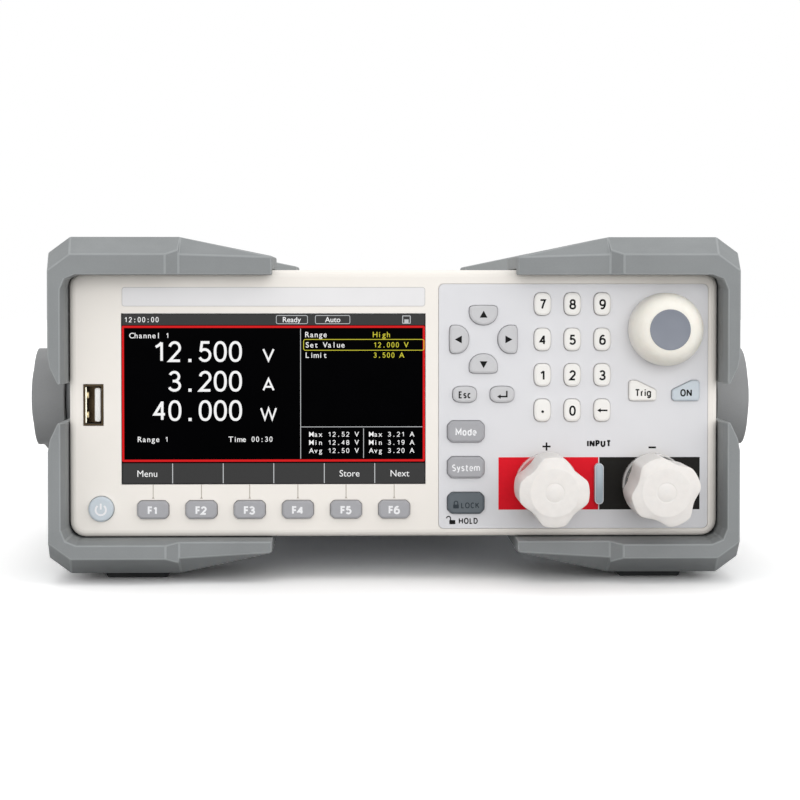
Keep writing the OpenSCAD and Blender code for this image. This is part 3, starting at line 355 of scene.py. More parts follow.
# Figures and letters as their width for a height of 1 and their strokes in a box of 1 by 1.
# A tuple is an oval's middle and half axes, a list the points of a line.
ROUND, SMALL_ROUND = (0.5, 0.5, 0.5, 0.5), (0.5, 0.36, 0.5, 0.36)
STEM, RIGHT_STEM, SMALL_STEM = [(0, 0), (0, 1)], [(1, 0), (1, 1)], [(0, 0), (0, 0.72)]
SIGNS = {
    "0": (0.64, [ROUND]),
    "1": (0.5, [[(0.7, 0), (0.7, 1)], [(0.14, 0.75), (0.42, 0.84), (0.7, 0.99)]]),
    "2": (0.62, [bow(0.5, 0.71, 0.48, 0.29, 168, -28) + [(0.02, 0.0), (1, 0)]]),
    "3": (0.62, [bow(0.46, 0.755, 0.44, 0.245, 158, -82), bow(0.46, 0.255, 0.52, 0.255, 82, -160),
                 [(0.3, 0.51), (0.56, 0.51)]]),
    "4": (0.66, [[(0.74, 0), (0.74, 1)], [(0.74, 0.97), (0.02, 0.3), (1, 0.3)]]),
    "5": (0.62, [[(0.92, 1), (0.2, 1), (0.08, 0.5)], bow(0.46, 0.31, 0.52, 0.31, 142, -155)]),
    "6": (0.64, [(0.5, 0.31, 0.5, 0.31), bow(0.58, 0.4, 0.58, 0.6, 182, 62)]),
    "7": (0.6, [[(0.02, 1), (0.97, 1), (0.6, 0.48), (0.36, 0)]]),
    "8": (0.64, [(0.5, 0.755, 0.42, 0.245), (0.5, 0.255, 0.5, 0.255)]),
    "9": (0.64, [(0.5, 0.69, 0.5, 0.31), bow(0.42, 0.6, 0.58, 0.6, 2, -118)]),
    "A": (0.76, [[(0, 0), (0.5, 0.98), (1, 0)], [(0.17, 0.3), (0.83, 0.3)]]),
    "C": (0.68, [bow(0.54, 0.5, 0.54, 0.5, 48, 312)]),
    "D": (0.7, [[(0, 0), (0, 1), (0.4, 1)] + bow(0.4, 0.5, 0.6, 0.5, 80, -80) + [(0.4, 0), (0.05, 0)]]),
    "E": (0.56, [[(0.9, 1), (0, 1), (0, 0), (0.92, 0)], [(0, 0.52), (0.8, 0.52)]]),
    "F": (0.56, [[(0, 0), (0, 1), (0.95, 1)], [(0, 0.52), (0.86, 0.52)]]),
    "H": (0.7, [STEM, RIGHT_STEM, [(0, 0.5), (1, 0.5)]]),
    "I": (0.2, [[(0.5, 0), (0.5, 1)]]),
    "K": (0.66, [STEM, [(0.95, 1), (0.05, 0.42)], [(0.35, 0.62), (1, 0)]]),
    "L": (0.52, [[(0, 1), (0, 0), (1, 0)]]),
    "M": (0.86, [[(0, 0), (0, 1), (0.5, 0.28), (1, 1), (1, 0)]]),
    "N": (0.74, [STEM, [(0, 1), (1, 0)], RIGHT_STEM]),
    "O": (0.78, [ROUND]),
    "P": (0.62, [[(0, 0), (0, 1), (0.5, 1)] + bow(0.5, 0.75, 0.5, 0.25, 80, -80) +
                 [(0.5, 0.5), (0.05, 0.5)]]),
    "S": (0.6, [bow(0.5, 0.75, 0.45, 0.25, 35, 270) + bow(0.5, 0.25, 0.5, 0.25, 90, -145)[1:]]),
    "T": (0.7, [[(0, 1), (1, 1)], [(0.5, 0), (0.5, 1)]]),
    "U": (0.7, [[(0, 1), (0, 0.36)] + bow(*SMALL_ROUND, 185, 355) + [(1, 0.36), (1, 1)]]),
    "V": (0.76, [[(0, 1), (0.5, 0.02), (1, 1)]]),
    "W": (1.1, [[(0, 1), (0.26, 0.02), (0.5, 0.98), (0.74, 0.02), (1, 1)]]),
    "c": (0.52, [bow(0.54, 0.36, 0.54, 0.36, 48, 312)]),
    "d": (0.6, [SMALL_ROUND, RIGHT_STEM]),
    "e": (0.58, [[(0.04, 0.36), (1, 0.36)] + bow(*SMALL_ROUND, 8, 312)]),
    "g": (0.6, [SMALL_ROUND, [(1, 0.74), (1, -0.05)] + bow(0.5, -0.05, 0.5, 0.22, -8, -150)]),
    "i": (0.2, [[(0.5, 0), (0.5, 0.72)], [(0.5, 0.9), (0.5, 1.06)]]),
    "m": (0.92, [SMALL_STEM, bow(0.25, 0.46, 0.25, 0.26, 170, 5) + [(0.5, 0)],
                 bow(0.75, 0.46, 0.25, 0.26, 170, 5) + [(1, 0)]]),
    "o": (0.6, [SMALL_ROUND]),
    "r": (0.4, [SMALL_STEM, bow(0.6, 0.38, 0.6, 0.34, 170, 75)]),
    "s": (0.5, [bow(0.5, 0.54, 0.44, 0.18, 30, 270) + bow(0.5, 0.18, 0.5, 0.18, 90, -150)[1:]]),
    "t": (0.5, [[(0.4, 0.98), (0.4, 0.12), (0.55, 0.0), (0.95, 0)], [(0, 0.7), (1, 0.7)]]),
    "y": (0.56, [[(0, 0.72), (0.52, 0.02)], [(1, 0.72), (0.38, -0.2), (0.05, -0.25)]]),
}


def placed(name, data):
    """An object of the scene."""
    made = bpy.data.objects.new(name, data)
    bpy.context.scene.collection.objects.link(made)
    return made


def shaped(name, made, material):
    """An object of a bmesh in metres."""
    bmesh.ops.recalc_face_normals(made, faces=made.faces)
    mesh = bpy.data.meshes.new(name)
    made.to_mesh(mesh)
    made.free()
    mesh.materials.append(material)
    return placed(name, mesh)


def add_piece(name, made, material, body="case"):
    """Such an object as a piece that rides on a body."""
    piece = shaped(name, made, material)
    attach(piece, body)
    return piece


def text_mesh(words, size, bold, thick):
    """Words set in the built-in face, flat in X and Y and standing up in Z."""
    curve = bpy.data.curves.new("words", "FONT")
    curve.body = words
    curve.size = size
    curve.offset = bold
    curve.extrude = thick / 2
    curve.resolution_u = 4
    holder = bpy.data.objects.new("words", curve)
    mesh = bpy.data.meshes.new_from_object(holder)
    bpy.data.objects.remove(holder)
    bpy.data.curves.remove(curve)
    return mesh


def span(mesh, axis):
    values = [v.co[axis] for v in mesh.vertices]
    return min(values), max(values)


CAPITAL = text_mesh("H", 1, 0, 0)
CAPITAL_SHARE = span(CAPITAL, 1)[1]
bpy.data.meshes.remove(CAPITAL)

# Width of a figure in its cell and stroke for its height, in small and in large words
SMALL_WIDTH, SMALL_STROKE = 0.68, 0.13
LARGE_WIDTH, LARGE_STROKE = 0.86, 0.125


def wall(made, a, b):
    """Faces between two loops of corners."""
    for i in range(len(a)):
        j = (i + 1) % len(a)
        made.faces.new((a[i], a[j], b[j], b[i]))


class Print:
    """Raised flat artwork in one material, all with its front at one depth."""

    def __init__(self, front, thick=PRINT_T, side=1):
        """Thick runs from the front inwards, and side is -1 on the rear."""
        self.made = bmesh.new()
        self.front = front
        self.thick = thick
        self.side = side
        self.coats = 0

    def loops(self, points):
        """Front and back edge of an outline, a hair ahead of the shape before it."""
        lift = COAT_T * (self.coats % COAT_CYCLE) * self.side
        return [[self.made.verts.new((x * MM, y * MM, z * MM)) for x, z in points]
                for y in (self.front - lift, self.front + self.thick)]

    def fill(self, points):
        """A solid outline."""
        front, back = self.loops(points)
        self.made.faces.new(front)
        self.made.faces.new(back[::-1])
        wall(self.made, front, back)
        self.coats += 1

    def ring(self, outer, inner):
        """The band between two outlines with as many points each."""
        loops = self.loops(outer), self.loops(inner)
        for side in (0, 1):
            wall(self.made, loops[0][side], loops[1][side])
        for front, back in loops:
            wall(self.made, front, back)
        self.coats += 1

    def line(self, points, width):
        left, right = (shifted(points, d, False, 0.4) for d in (width / 2, -width / 2))
        self.fill(left + right[::-1])

    def frame(self, x0, z0, x1, z1, r, width):
        """A rounded rectangle's outline, drawn inside its edge."""
        self.ring(rounded_rect(x0, z0, x1, z1, r),
                  rounded_rect(*drawn_box((x0, z0, x1, z1), width), max(r - width, 0.02)))

    def words(self, words, x, z, height, bold):
        """Words in the built-in face round their middle, with their capitals height tall."""
        mesh = text_mesh(words, height / CAPITAL_SHARE, bold, abs(self.thick))
        middle = sum(span(mesh, 0)) / 2
        for v in mesh.vertices:
            depth = self.front + self.thick / 2 - v.co.z
            v.co = Vector((x + self.side * (v.co.x - middle), depth, z + v.co.y - height / 2)) * MM
        self.made.from_mesh(mesh)
        bpy.data.meshes.remove(mesh)

    def figure(self, letter, x, z, height, width, stroke):
        """A figure or letter of SIGNS round its middle."""
        def at(u, v):
            return x + (u - 0.5) * (width - stroke), z + (v - 0.5) * (height - stroke)

        for part in SIGNS[letter][1]:
            if isinstance(part, tuple):
                rx, rz = part[2] * (width - stroke), part[3] * (height - stroke)
                self.ring(oval(*at(*part[:2]), rx + stroke / 2, rz + stroke / 2),
                          oval(*at(*part[:2]), rx - stroke / 2, rz - stroke / 2))
            else:
                self.line([at(u, v) for u, v in part], stroke)

    def written(self, words, x, z, height, stroke, squeeze=1.0, gap_share=0.15):
        """Words of SIGNS, with their capitals height tall, round their middle."""
        widths = [max(SIGNS[letter][0] * height * squeeze, stroke) for letter in words]
        gap = height * gap_share * squeeze
        left = x - (sum(widths) + gap * (len(words) - 1)) / 2
        for letter, width in zip(words, widths):
            self.figure(letter, left + width / 2, z, height, width, stroke)
            left += width + gap

    def spaced(self, words, x, z, height, pitch, bold):
        """Words in cells of one width, from the left."""
        for i, letter in enumerate(words):
            middle = x + (i + 0.5) * pitch
            if letter.isdigit():
                self.figure(letter, middle, z, height, pitch * SMALL_WIDTH, height * SMALL_STROKE)
            elif letter != " ":
                self.words(letter, middle, z, height, bold)

    def reading(self, words, x, z, height, pitch):
        """Large figures of a measured value, in cells of one width from the left."""
        half = height * 0.075
        low = z - height / 2
        for i, letter in enumerate(words):
            middle = x + (i + 0.5) * pitch
            if letter == ".":
                self.fill(rect(middle - half, low, middle + half, low + 2 * half))
            elif letter != " ":
                self.figure(letter, middle, z, height, pitch * LARGE_WIDTH, height * LARGE_STROKE)

    def piece(self, name, material, body="case"):
        add_piece(name, self.made, material, body)


# Solid building

def loft(rings, made=None, closed=True):
    """A skin through rings of as many points each, in metres, new or added to made."""
    made = made or bmesh.new()
    loops = [[made.verts.new(p) for p in ring] for ring in rings]
    for a, b in zip(loops, loops[1:]):
        wall(made, a, b)
    if closed:
        made.faces.new(loops[0])
        made.faces.new(loops[-1])
    return made


def smooth(piece, angle=35):
    """Smooth shading that keeps edges sharper than angle."""
    for face in piece.data.polygons:
        face.use_smooth = True
    piece.data.set_sharp_from_angle(angle=math.radians(angle))
    return piece


def even(r):
    """A radius that is the same at every angle."""
    return lambda a: r


def hexagon(r):
    """Radius of a hexagon with corners at r, by the angle."""
    return lambda a: r * math.cos(math.pi / 6) / math.cos(a % (math.pi / 3) - math.pi / 6)


def turned(made, origin, axis, profile, steps):
    """Adds a turned solid on an axis from origin, through radii and heights in millimetres."""
    along = Vector(axis)
    across = along.orthogonal().normalized()
    third = along.cross(across)
    angles = [math.tau * i / steps for i in range(steps)]
    rings = []
    for radius, height in profile:
        reach = radius if callable(radius) else even(radius)
        hub = Vector(origin) + along * height
        rings.append([(hub + (across * math.cos(a) + third * math.sin(a)) * reach(a)) * MM for a in angles])
    loft(rings, made)


def revolved(node, profile, steps, closed=True):
    """A skin round a CAD node's middle, through a profile of radii by the angle and their y."""
    middle = middle_mm(node)
    angles = [math.tau * i / steps for i in range(steps)]
    return loft([[Vector((middle.x + reach(a) * math.cos(a), y, middle.z + reach(a) * math.sin(a))) * MM
                  for a in angles] for reach, y in profile], closed=closed)


def slab(made, outlines, closed=True):
    """Adds a skin through X-Z outlines in millimetres, each given with its y, closed to a solid."""
    loft([[Vector((x, y, z)) * MM for x, z in points] for points, y in outlines], made, closed)


def solid(name, outlines, material):
    """A piece of one such solid."""
    made = bmesh.new()
    slab(made, outlines)
    return add_piece(name, made, material)


def block(name, box, r, levels, material, steps=6):
    """A smooth piece through a rounded box, drawn in by g at y on each level."""
    outlines = [(rounded_rect(*drawn_box(box, g), r - g, steps), y) for g, y in levels]
    smooth(solid(name, outlines, material))


def cup(name, box, wall, depths, material):
    """A square cup: the y of its outside's floor and mouth, then of its inside's mouth and floor."""
    outer, inner = rect(*drawn_box(box, 0.03)), rect(*drawn_box(box, wall))
    solid(name, zip((outer, outer, inner, inner), depths), material)


# Front panel

def host_socket():
    """Liner, tongue, side strip and springs of the socket beside the screen."""
    low, high = box_mm("usb_socket")
    wall, depth = 0.42, 7.5
    room = drawn_box((low.x, low.z, high.x, high.z), wall)
    x0, z0, x1, z1 = room
    front = low.y + 0.3
    back = front + depth
    cup("socket_liner", room, 0.25, (back, front, front + 0.15, back - 0.2),
        moulded("liner_dark", srgb(44, 40, 33), 0.5, 0.1, 3))
    tongue_w, tongue_right = 2, x1 - 0.45
    block("socket_tongue", (tongue_right - tongue_w, z0 + 0.75, tongue_right, z1 - 0.75), 0.6,
          ((0.3, front + 0.55), (0.1, front + 0.65), (0.0, front + 0.9), (0.0, back - 0.25)),
          moulded("tongue_white", srgb(246, 245, 242), 0.4, 0.01, 2, 0.004, 0.3))
    block("socket_side", (x0 + 0.06, z0 + 0.3, x0 + 0.62, z1 - 0.3), 0.25,
          ((0.12, front + 0.1), (0.0, front + 0.25), (0.0, front + 0.8)),
          brushed("side_tin", srgb(224, 220, 202), 0.3, (1, 1, 8)))
    springs = bmesh.new()
    half, end = 1.1, 3.1
    for z in (z0 + end, z1 - end):
        slab(springs, [(rounded_rect(x0 + 0.5, z - half + g, x0 + 1.35 - g, z + half - g, 0.35 - g),
                        front + y) for g, y in ((0.3, 0.35), (0.08, 0.5), (0.0, 1.0), (0.2, 2.2))])
    smooth(add_piece("socket_springs", springs, brushed("spring_gold", srgb(164, 150, 118), 0.3, (1, 1, 8))))


def name_strip():
    """The bare label strip above the screen."""
    edge = SCREEN_LOW.x + 0.1, SCREEN_HIGH.z + 2.4, SCREEN_HIGH.x, SCREEN_HIGH.z + 8.8, 0.9
    plate = Print(PANEL_Y - 0.06, 0.1)
    plate.fill(rounded_rect(*edge))
    plate.piece("name_strip", moulded("strip_film", srgb(232, 231, 232), 0.35, 0.008, 20, 0.003, 0.3))
    border = Print(PANEL_Y - 0.08)
    border.frame(*edge, 0.22)
    border.piece("name_strip_border", ink("strip_border", srgb(205, 203, 202)))


def leaders():
    """Lines from the screen's soft labels down to the function keys."""
    width, head_half, head_h = 0.28, 0.42, 0.9
    top = SCREEN_LOW.z - 0.2
    lines = Print(PANEL_Y - 0.03)
    for i in range(1, 7):
        low, high = box_mm(f"key_f{i}")
        x, foot = (low.x + high.x) / 2, high.z - 0.3
        lines.line([(x, top), (x, foot)], width)
        lines.fill([(x - head_half, foot), (x + head_half, foot), (x, foot + head_h)])
    lines.piece("soft_key_leaders", ink("leader_ink", srgb(186, 178, 168)))


def terminal_field():
    """Red and black plates behind the terminals, and their signs."""
    left, foot, right, top = 34.5, 23.3, 101.4, 40.7
    split = (middle_mm("positive_knob").x + middle_mm("negative_knob").x) / 2
    for name, x0, x1, colour in (("plate_red", left, split - 0.1, srgb(226, 19, 38)),
                                 ("plate_black", split + 0.25, right, srgb(27, 26, 24))):
        plate = Print(OVERLAY_Y - 0.05, 0.08)
        plate.fill(rect(x0, foot, x1, top))
        plate.piece(name, ink(name, colour, 0.5))
    signs = Print(OVERLAY_Y - 0.03)
    # Plus and minus: middle, half lengths and stroke
    for x, z, dx, dz, stroke in ((50.45, 44.25, 1.35, 0, 0.56), (50.45, 44.25, 0, 1.35, 0.56),
                                 (85.6, 43.9, 1.25, 0, 0.6)):
        signs.line([(x - dx, z - dz), (x + dx, z + dz)], stroke)
    signs.written("INPUT", 67.9, 45.2, 2.35, 0.6, 1.0, 0.1)
    signs.piece("terminal_signs", BLACK_INK)


def barrier_cap():
    """Rounded cap over the barrier between the terminals."""
    x, z, half_w, half_h = 67.75, 32.0, 1.5, 6.8
    base, top = OVERLAY_Y - 0.04, OVERLAY_Y - 2.55
    block("barrier_cap", box_round(x, z, half_w, half_h), half_w - 0.02,
          ((0.0, base), (0.0, top + 0.6), (0.2, top + 0.2), (0.55, top)),
          moulded("barrier", srgb(172, 187, 197), 0.36, 0.015, 4, 0.004, 0.3), 8)


def dial_disc():
    """Inlaid grey disc on the encoder knob."""
    front = box_mm("encoder_knob")[0].y
    profile = ((6.65, 0.05), (6.65, -0.06), (6.4, -0.12), (6.1, -0.06), (3.0, -0.03), (0.4, -0.02))
    made = revolved("encoder_knob", [(even(r), front + depth) for r, depth in profile], 72)
    grey = moulded("disc_grey", srgb(126, 131, 142), 0.4, 0.02, 5, 0.003, 0.3)
    smooth(add_piece("dial_disc", made, grey, "encoder"), 50)


LOBE_PITCH = math.tau / 4
LOBE_R, LOBE_HALF, LOBE_BOW = 11.2, math.radians(18), 0.6
LOBE_FACE_R, NECK_R = 8.0, 9.0


def lobed_radius(a):
    """Radius of a terminal knob at an angle from the middle of a lobe, with its corners softened."""
    side = LOBE_PITCH / 2 - LOBE_HALF
    shifts = [math.radians(d) for d in (-3, -1.5, 0, 1.5, 3)]
    total = 0
    for shift in shifts:
        c = abs((a + shift) % LOBE_PITCH - LOBE_PITCH / 2)
        bowed = LOBE_R * math.cos(side) / math.cos(c) - LOBE_BOW * (1 + math.cos(math.pi * c / side)) / 2
        total += LOBE_R if c > side else bowed
    return total / len(shifts)


def lobed_knob(pole, turn):
    """Soft-edged lobed terminal knob in the CAD knob's place, over the ring behind it."""
    node = pole + "_knob"
    low, high = box_mm(node)

    def blend(share, grow=0.0):
        return lambda a: LOBE_FACE_R * (1 - share) + lobed_radius(a - turn) * share + grow

    ahead = ((0.02, even(0.5)), (0.02, even(2.85)), (0.07, even(2.95)), (0.07, even(3.1)), (0, even(3.2)),
             (0, even(3.4)), (0, even(7.4)), (0.02, even(7.8)), (0.12, even(LOBE_FACE_R)),
             (0.18, blend(0.06)), (0.52, blend(0.5)), (0.84, blend(0.9)), (0.95, blend(0.965)),
             (1.15, blend(0.993)), (1.45, blend(1)), (2, blend(1)), (8, blend(1)))
    behind = ((5.2, blend(1)), (4.4, blend(1, -0.15)), (3.8, blend(1, -0.5)), (3.5, even(NECK_R + 0.15)),
              (3.2, even(NECK_R)), (0.2, even(NECK_R)), (0, even(NECK_R - 0.25)), (0, even(4.4)),
              (2, even(4.3)))
    profile = [(radius, low.y + d) for d, radius in ahead] + [(radius, high.y - d) for d, radius in behind]
    made = revolved(pole + "_washer", profile, 160)
    knob = add_piece(node + "_shell", made, FINISHES["knob_white"], pole + "_nut")
    smooth(knob, 40)
    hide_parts(node)


def ring_rim(pole):
    """Bead round the front edge of the clear ring behind a terminal knob."""
    name, node = pole + "_rim", pole + "_washer"
    low, high = box_mm(node)
    r = (high.x - low.x) / 2
    profile = ((-0.5, low.y + 0.02), (-0.38, low.y - 0.08), (-0.12, low.y - 0.1), (0.05, low.y + 0.04),
               (0.1, low.y + 0.3), (0.1, high.y - 0.2), (-0.05, high.y + 0.02))
    made = revolved(node, [(even(r + grow), y) for grow, y in profile], 96, False)
    smooth(add_piece(name, made, clear(name, srgb(238, 236, 235), 0.5), pole + "_ring"), 60)


# Lips round the keys

LIP_W, LIP_EDGE_W, LIP_EDGE_D, LIP_D = 0.17, 0.05, 0.06, 0.6


def openings(node, y):
    """Outlines of the openings in the flat face at y of a CAD node, in X and Z millimetres."""
    part = NODES[node]
    follows = {}
    for face in part.data.polygons:
        corners = [part.matrix_world @ part.data.vertices[i].co / MM for i in face.vertices]
        if max(abs(c.y - y) for c in corners) > 0.01:
            continue
        spots = [(round(c.x, 2), round(c.z, 2)) for c in corners]
        for a, b in zip(spots, spots[1:] + spots[:1]):
            if follows.get(b) and a in follows[b]:
                follows[b].remove(a)
            else:
                follows.setdefault(a, []).append(b)
    loops = []
    for start in list(follows):
        loop, here = [], start
        while follows.get(here):
            loop.append(here)
            here = follows[here].pop()
        if len(loop) > 2:
            loops.append(loop)
    return loops


def drawn_in(points, d):
    """A closed outline drawn in by d."""
    area = sum(a[0] * b[1] - b[0] * a[1] for a, b in zip(points, points[1:] + points[:1]))
    return shifted(points, math.copysign(d, area), True, 0.5)


def key_lips(name, node, y, keys, material):
    """Thin lips that narrow the gaps round the keys."""
    holes = openings(node, y)

    def off_key(hole, spot):
        xs, zs = zip(*hole)
        return abs((min(xs) + max(xs)) / 2 - spot.x) + abs((min(zs) + max(zs)) / 2 - spot.z)

    made = bmesh.new()
    for key in keys:
        spot = middle_mm(key)
        hole = min(holes, key=lambda h: off_key(h, spot))
        edge, soft = drawn_in(hole, LIP_W), drawn_in(hole, LIP_W - LIP_EDGE_W)
        rings = ((hole, y + LIP_D), (hole, y), (soft, y), (edge, y + LIP_EDGE_D), (edge, y + LIP_D))
        slab(made, rings, False)
    add_piece(name, made, material)


# Key legends

def padlock(art, x, z, size, open_shackle=False):
    """A padlock size high, its body's middle at x, its shackle to the left where it is open."""
    w = size * 0.72
    art.fill(rounded_rect(x - w / 2, z - size / 2, x + w / 2, z, size * 0.08, 3))
    hoop_x, r = x - w * 0.62 if open_shackle else x, w * 0.32
    hoop = [(hoop_x + r, z)] + arc(hoop_x, z + size * 0.2, r, 0, 180, 10)
    if not open_shackle:
        hoop.append((hoop_x - r, z))
    art.line(hoop, size * 0.13)


def arrow_left(art, x, z, length):
    """Left arrow with a slim shaft."""
    tip, head = x - length / 2, length * 0.34
    art.line([(tip + head * 0.6, z), (x + length / 2, z)], length * 0.15)
    art.fill([(tip, z), (tip + head, z - head * 0.62), (tip + head, z + head * 0.62)])


def enter_arrow(art, x, z, length):
    arrow_left(art, x, z - length * 0.2, length)
    side = x + length * 0.44
    art.line([(side, z - length * 0.26), (side, z + length * 0.36)], length * 0.15)


def triangle(art, x, z, size, turn):
    angles = [math.radians(turn + a) for a in (0, 122, 238)]
    art.fill([(x + size * math.cos(a), z + size * math.sin(a)) for a in angles])


def power_mark(art, x, z, r):
    art.line(arc(x, z, r, 128, 412, 30), r * 0.36)
    art.line([(x, z + r * 0.1), (x, z + r * 1.25)], r * 0.36)


# Word of a key, the height of its capitals, its stroke and how far it stands below the key's middle
KEY_WORDS = {
    "key_esc": ("Esc", 2.35, 0.42, 0.1), "key_mode": ("Mode", 2.45, 0.45, 0.1),
    "key_system": ("System", 2.3, 0.38, 0.1), "key_trig": ("Trig", 2.5, 0.44, 0.7),
    "key_on": ("ON", 2.45, 0.45, 0.7),
}
WORD_SQUEEZE, WORD_GAP = 0.96, 0.11
F_H, F_STROKE, F_SQUEEZE, F_GAP = 2.8, 0.62, 1.14, -0.02
DIGIT_H, DIGIT_W, DIGIT_STROKE = 3.4, 2.2, 0.6
ARROW_L, TRIANGLE_R, POINT_R, POWER_R = 3.4, 1.5, 0.45, 1.7
LEGEND_INKS = {"key_grey": WHITE_INK, "key_dark": ink("lock_ink", srgb(52, 59, 65))}
ARROW_TURNS = {"key_right": 0, "key_up": 90, "key_left": 180, "key_down": 270}


def key_legend(node, slot):
    """The mark on one key, which moves with it."""
    x, _, z = middle_mm(node)
    art = Print(KEY_Y - 0.02)
    material = LEGEND_INKS.get(slot, BLACK_INK)
    if node in ARROW_TURNS:
        triangle(art, x, z, TRIANGLE_R, ARROW_TURNS[node])
    elif node in KEY_WORDS:
        words, height, stroke, drop = KEY_WORDS[node]
        art.written(words, x, z - drop, height, stroke, WORD_SQUEEZE, WORD_GAP)
    elif node == "key_enter":
        enter_arrow(art, x, z, ARROW_L)
    elif node == "key_back":
        arrow_left(art, x, z, ARROW_L)
    elif node == "key_point":
        art.fill(circle(x, z - 0.4, POINT_R, 16))
    elif node == "key_lock":
        padlock(art, x - 3.3, z - 0.4, 2.6)
        art.written("LOCK", x + 1.4, z - 0.7, 1.95, 0.33)
    elif node == "power_button":
        power_mark(art, x, z - 0.2, POWER_R)
        material = WHITE_INK
    elif node.startswith("key_f"):
        art.written(node[-2:].upper(), x, z - 0.15, F_H, F_STROKE, F_SQUEEZE, F_GAP)
    else:
        art.figure(node[-1], x, z - 0.1, DIGIT_H, DIGIT_W, DIGIT_STROKE)
    art.piece("legend_" + node, material, node)


def lock_note():
    """Open padlock and its word below the lock key."""
    art = Print(OVERLAY_Y - 0.03)
    padlock(art, 19.2, 19.9, 2.8, True)
    art.written("HOLD", 24.5, 19.6, 2.0, 0.38)
    art.piece("lock_note", BLACK_INK)


# Screen

def on_screen(u, v):
    """A point of the screen, from its left and top edges."""
    return SCREEN_LOW.x + u, SCREEN_HIGH.z - v


STATUS_H = 3.75
FRAME_TOP, FRAME_FOOT = 3.95, 48.95
SOFT_TOP = 49.4
DIVIDER_U = 59.0
SCREEN_FRONT = SCREEN_LOW.y - 0.03


class ScreenPrint(Print):
    """Artwork placed by its distances from the screen's left and top edges."""

    def bar(self, u0, v0, u1, v1):
        self.fill(rect(*on_screen(u0, v1), *on_screen(u1, v0)))

    def outline(self, u0, v0, u1, v1, r, width):
        self.frame(*on_screen(u0, v1), *on_screen(u1, v0), r, width)

    def text(self, words, u, v, height=1.75, pitch=1.47):
        """Small fixed-pitch words, from their left edge and middle height."""
        self.spaced(words, *on_screen(u, v), height, pitch, 0.015)

    def label(self, words, u, v, height, bold=0.02):
        self.words(words, *on_screen(u, v), height, bold)


def screen_artwork():
    """A generic measuring display."""
    bars = ScreenPrint(SCREEN_FRONT)
    bars.bar(0.15, 0.1, SCREEN_W - 0.15, STATUS_H)
    bars.bar(0.15, SOFT_TOP, SCREEN_W - 0.15, SCREEN_H - 0.15)
    bars.piece("screen_bars", lit("screen_bar_grey", srgb(60, 60, 60)))

    red = ScreenPrint(SCREEN_FRONT)
    red.outline(0.05, FRAME_TOP, SCREEN_W - 0.05, FRAME_FOOT, 0.5, 0.75)
    red.piece("screen_frame", lit("screen_red", srgb(214, 24, 26)))

    lines = ScreenPrint(SCREEN_FRONT - 0.02)
    for i in range(1, 6):
        u = SCREEN_W * i / 6
        lines.bar(u - 0.14, SOFT_TOP + 0.1, u + 0.14, SCREEN_H - 0.2)
    lines.bar(DIVIDER_U - 0.1, FRAME_TOP + 1, DIVIDER_U + 0.1, FRAME_FOOT - 1)
    lines.bar(DIVIDER_U, 37.35, SCREEN_W - 0.9, 37.55)
    lines.bar(79.7, 38, 79.9, FRAME_FOOT - 1.2)
    for u0, u1 in ((50.9, 61.4), (63.8, 75.4)):
        lines.outline(u0, 0.5, u1, 3.4, 0.6, 0.2)
    lines.outline(92.6, 0.6, 95.4, 3.3, 0.3, 0.28)
    lines.bar(93.3, 1.9, 94.7, 3.2)
    lines.piece("screen_lines", lit("screen_pale", srgb(196, 198, 200)))

    white = ScreenPrint(SCREEN_FRONT - 0.02)
    for words, unit, v in (("12.500", "V", 12.5), (" 3.200", "A", 22.3), ("40.000", "W", 32.0)):
        white.reading(words, *on_screen(10.0, v), 6.9, 5.0)
        white.figure(unit, *on_screen(48.4, v + 1.1), 4.4, 5.6 if unit == "W" else 4.0, 0.62)
    white.text("12:00:00", 0.7, 1.95)
    white.label("Ready", 56.15, 1.95, 1.7)
    white.label("Auto", 69.6, 1.95, 1.7)
    for words, u, v in (("Channel 1", 2.6, 7.2), ("Range 1", 5.2, 41.5), ("Time 00:30", 35.2, 41.5),
                        ("Range", 60.5, 6.9), ("Set Value", 60.5, 10.3), ("Limit", 60.5, 13.7)):
        white.text(words, u, v)
    for row, (volt, amp) in enumerate((("Max 12.52 V", "Max 3.21 A"), ("Min 12.48 V", "Min 3.19 A"),
                                       ("Avg 12.50 V", "Avg 3.20 A"))):
        white.text(volt, 61.8, 39.9 + 2.7 * row, 1.6, 1.5)
        white.text(amp, 81.6, 39.9 + 2.7 * row, 1.6, 1.5)
    for words, cell in (("Menu", 0), ("Store", 4), ("Next", 5)):
        white.label(words, SCREEN_W * (cell + 0.5) / 6, (SOFT_TOP + SCREEN_H) / 2, 2.1, 0.0)
    white.piece("screen_words", lit("screen_white", srgb(248, 248, 248)))

    yellow = ScreenPrint(SCREEN_FRONT - 0.02)
    yellow.outline(59.9, 8.4, SCREEN_W - 0.3, 12.2, 0.7, 0.22)
    for words, v in (("High", 6.9), ("12.000 V", 10.3), ("3.500 A", 13.7)):
        yellow.text(words, 82.9, v)
    yellow.piece("screen_values", lit("screen_yellow", srgb(206, 200, 60)))


# Rear and sides

ZINC = brushed("screw_zinc", srgb(196, 198, 200), 0.3, (1, 1, 1))
GOLD = brushed("pin_gold", srgb(222, 190, 120), 0.28, (1, 8, 1))
PORT_BLACK = moulded("port_black", srgb(28, 28, 30), 0.5, 0.06, 3)
PORT_PROUD = 1.0
PORT_WALL = 1.2
# Left and right edge, height and depth of the rear sockets
PORT_SPANS = {"serial": (8.0, 39.0, 12.5, 6.0), "network": (44.0, 60.0, 14.0, 12.0),
              "device": (65.0, 77.0, 11.0, 9.0)}
PORT_Z = middle_mm("rear_connectors").z
BACKWARDS = 0, 1, 0


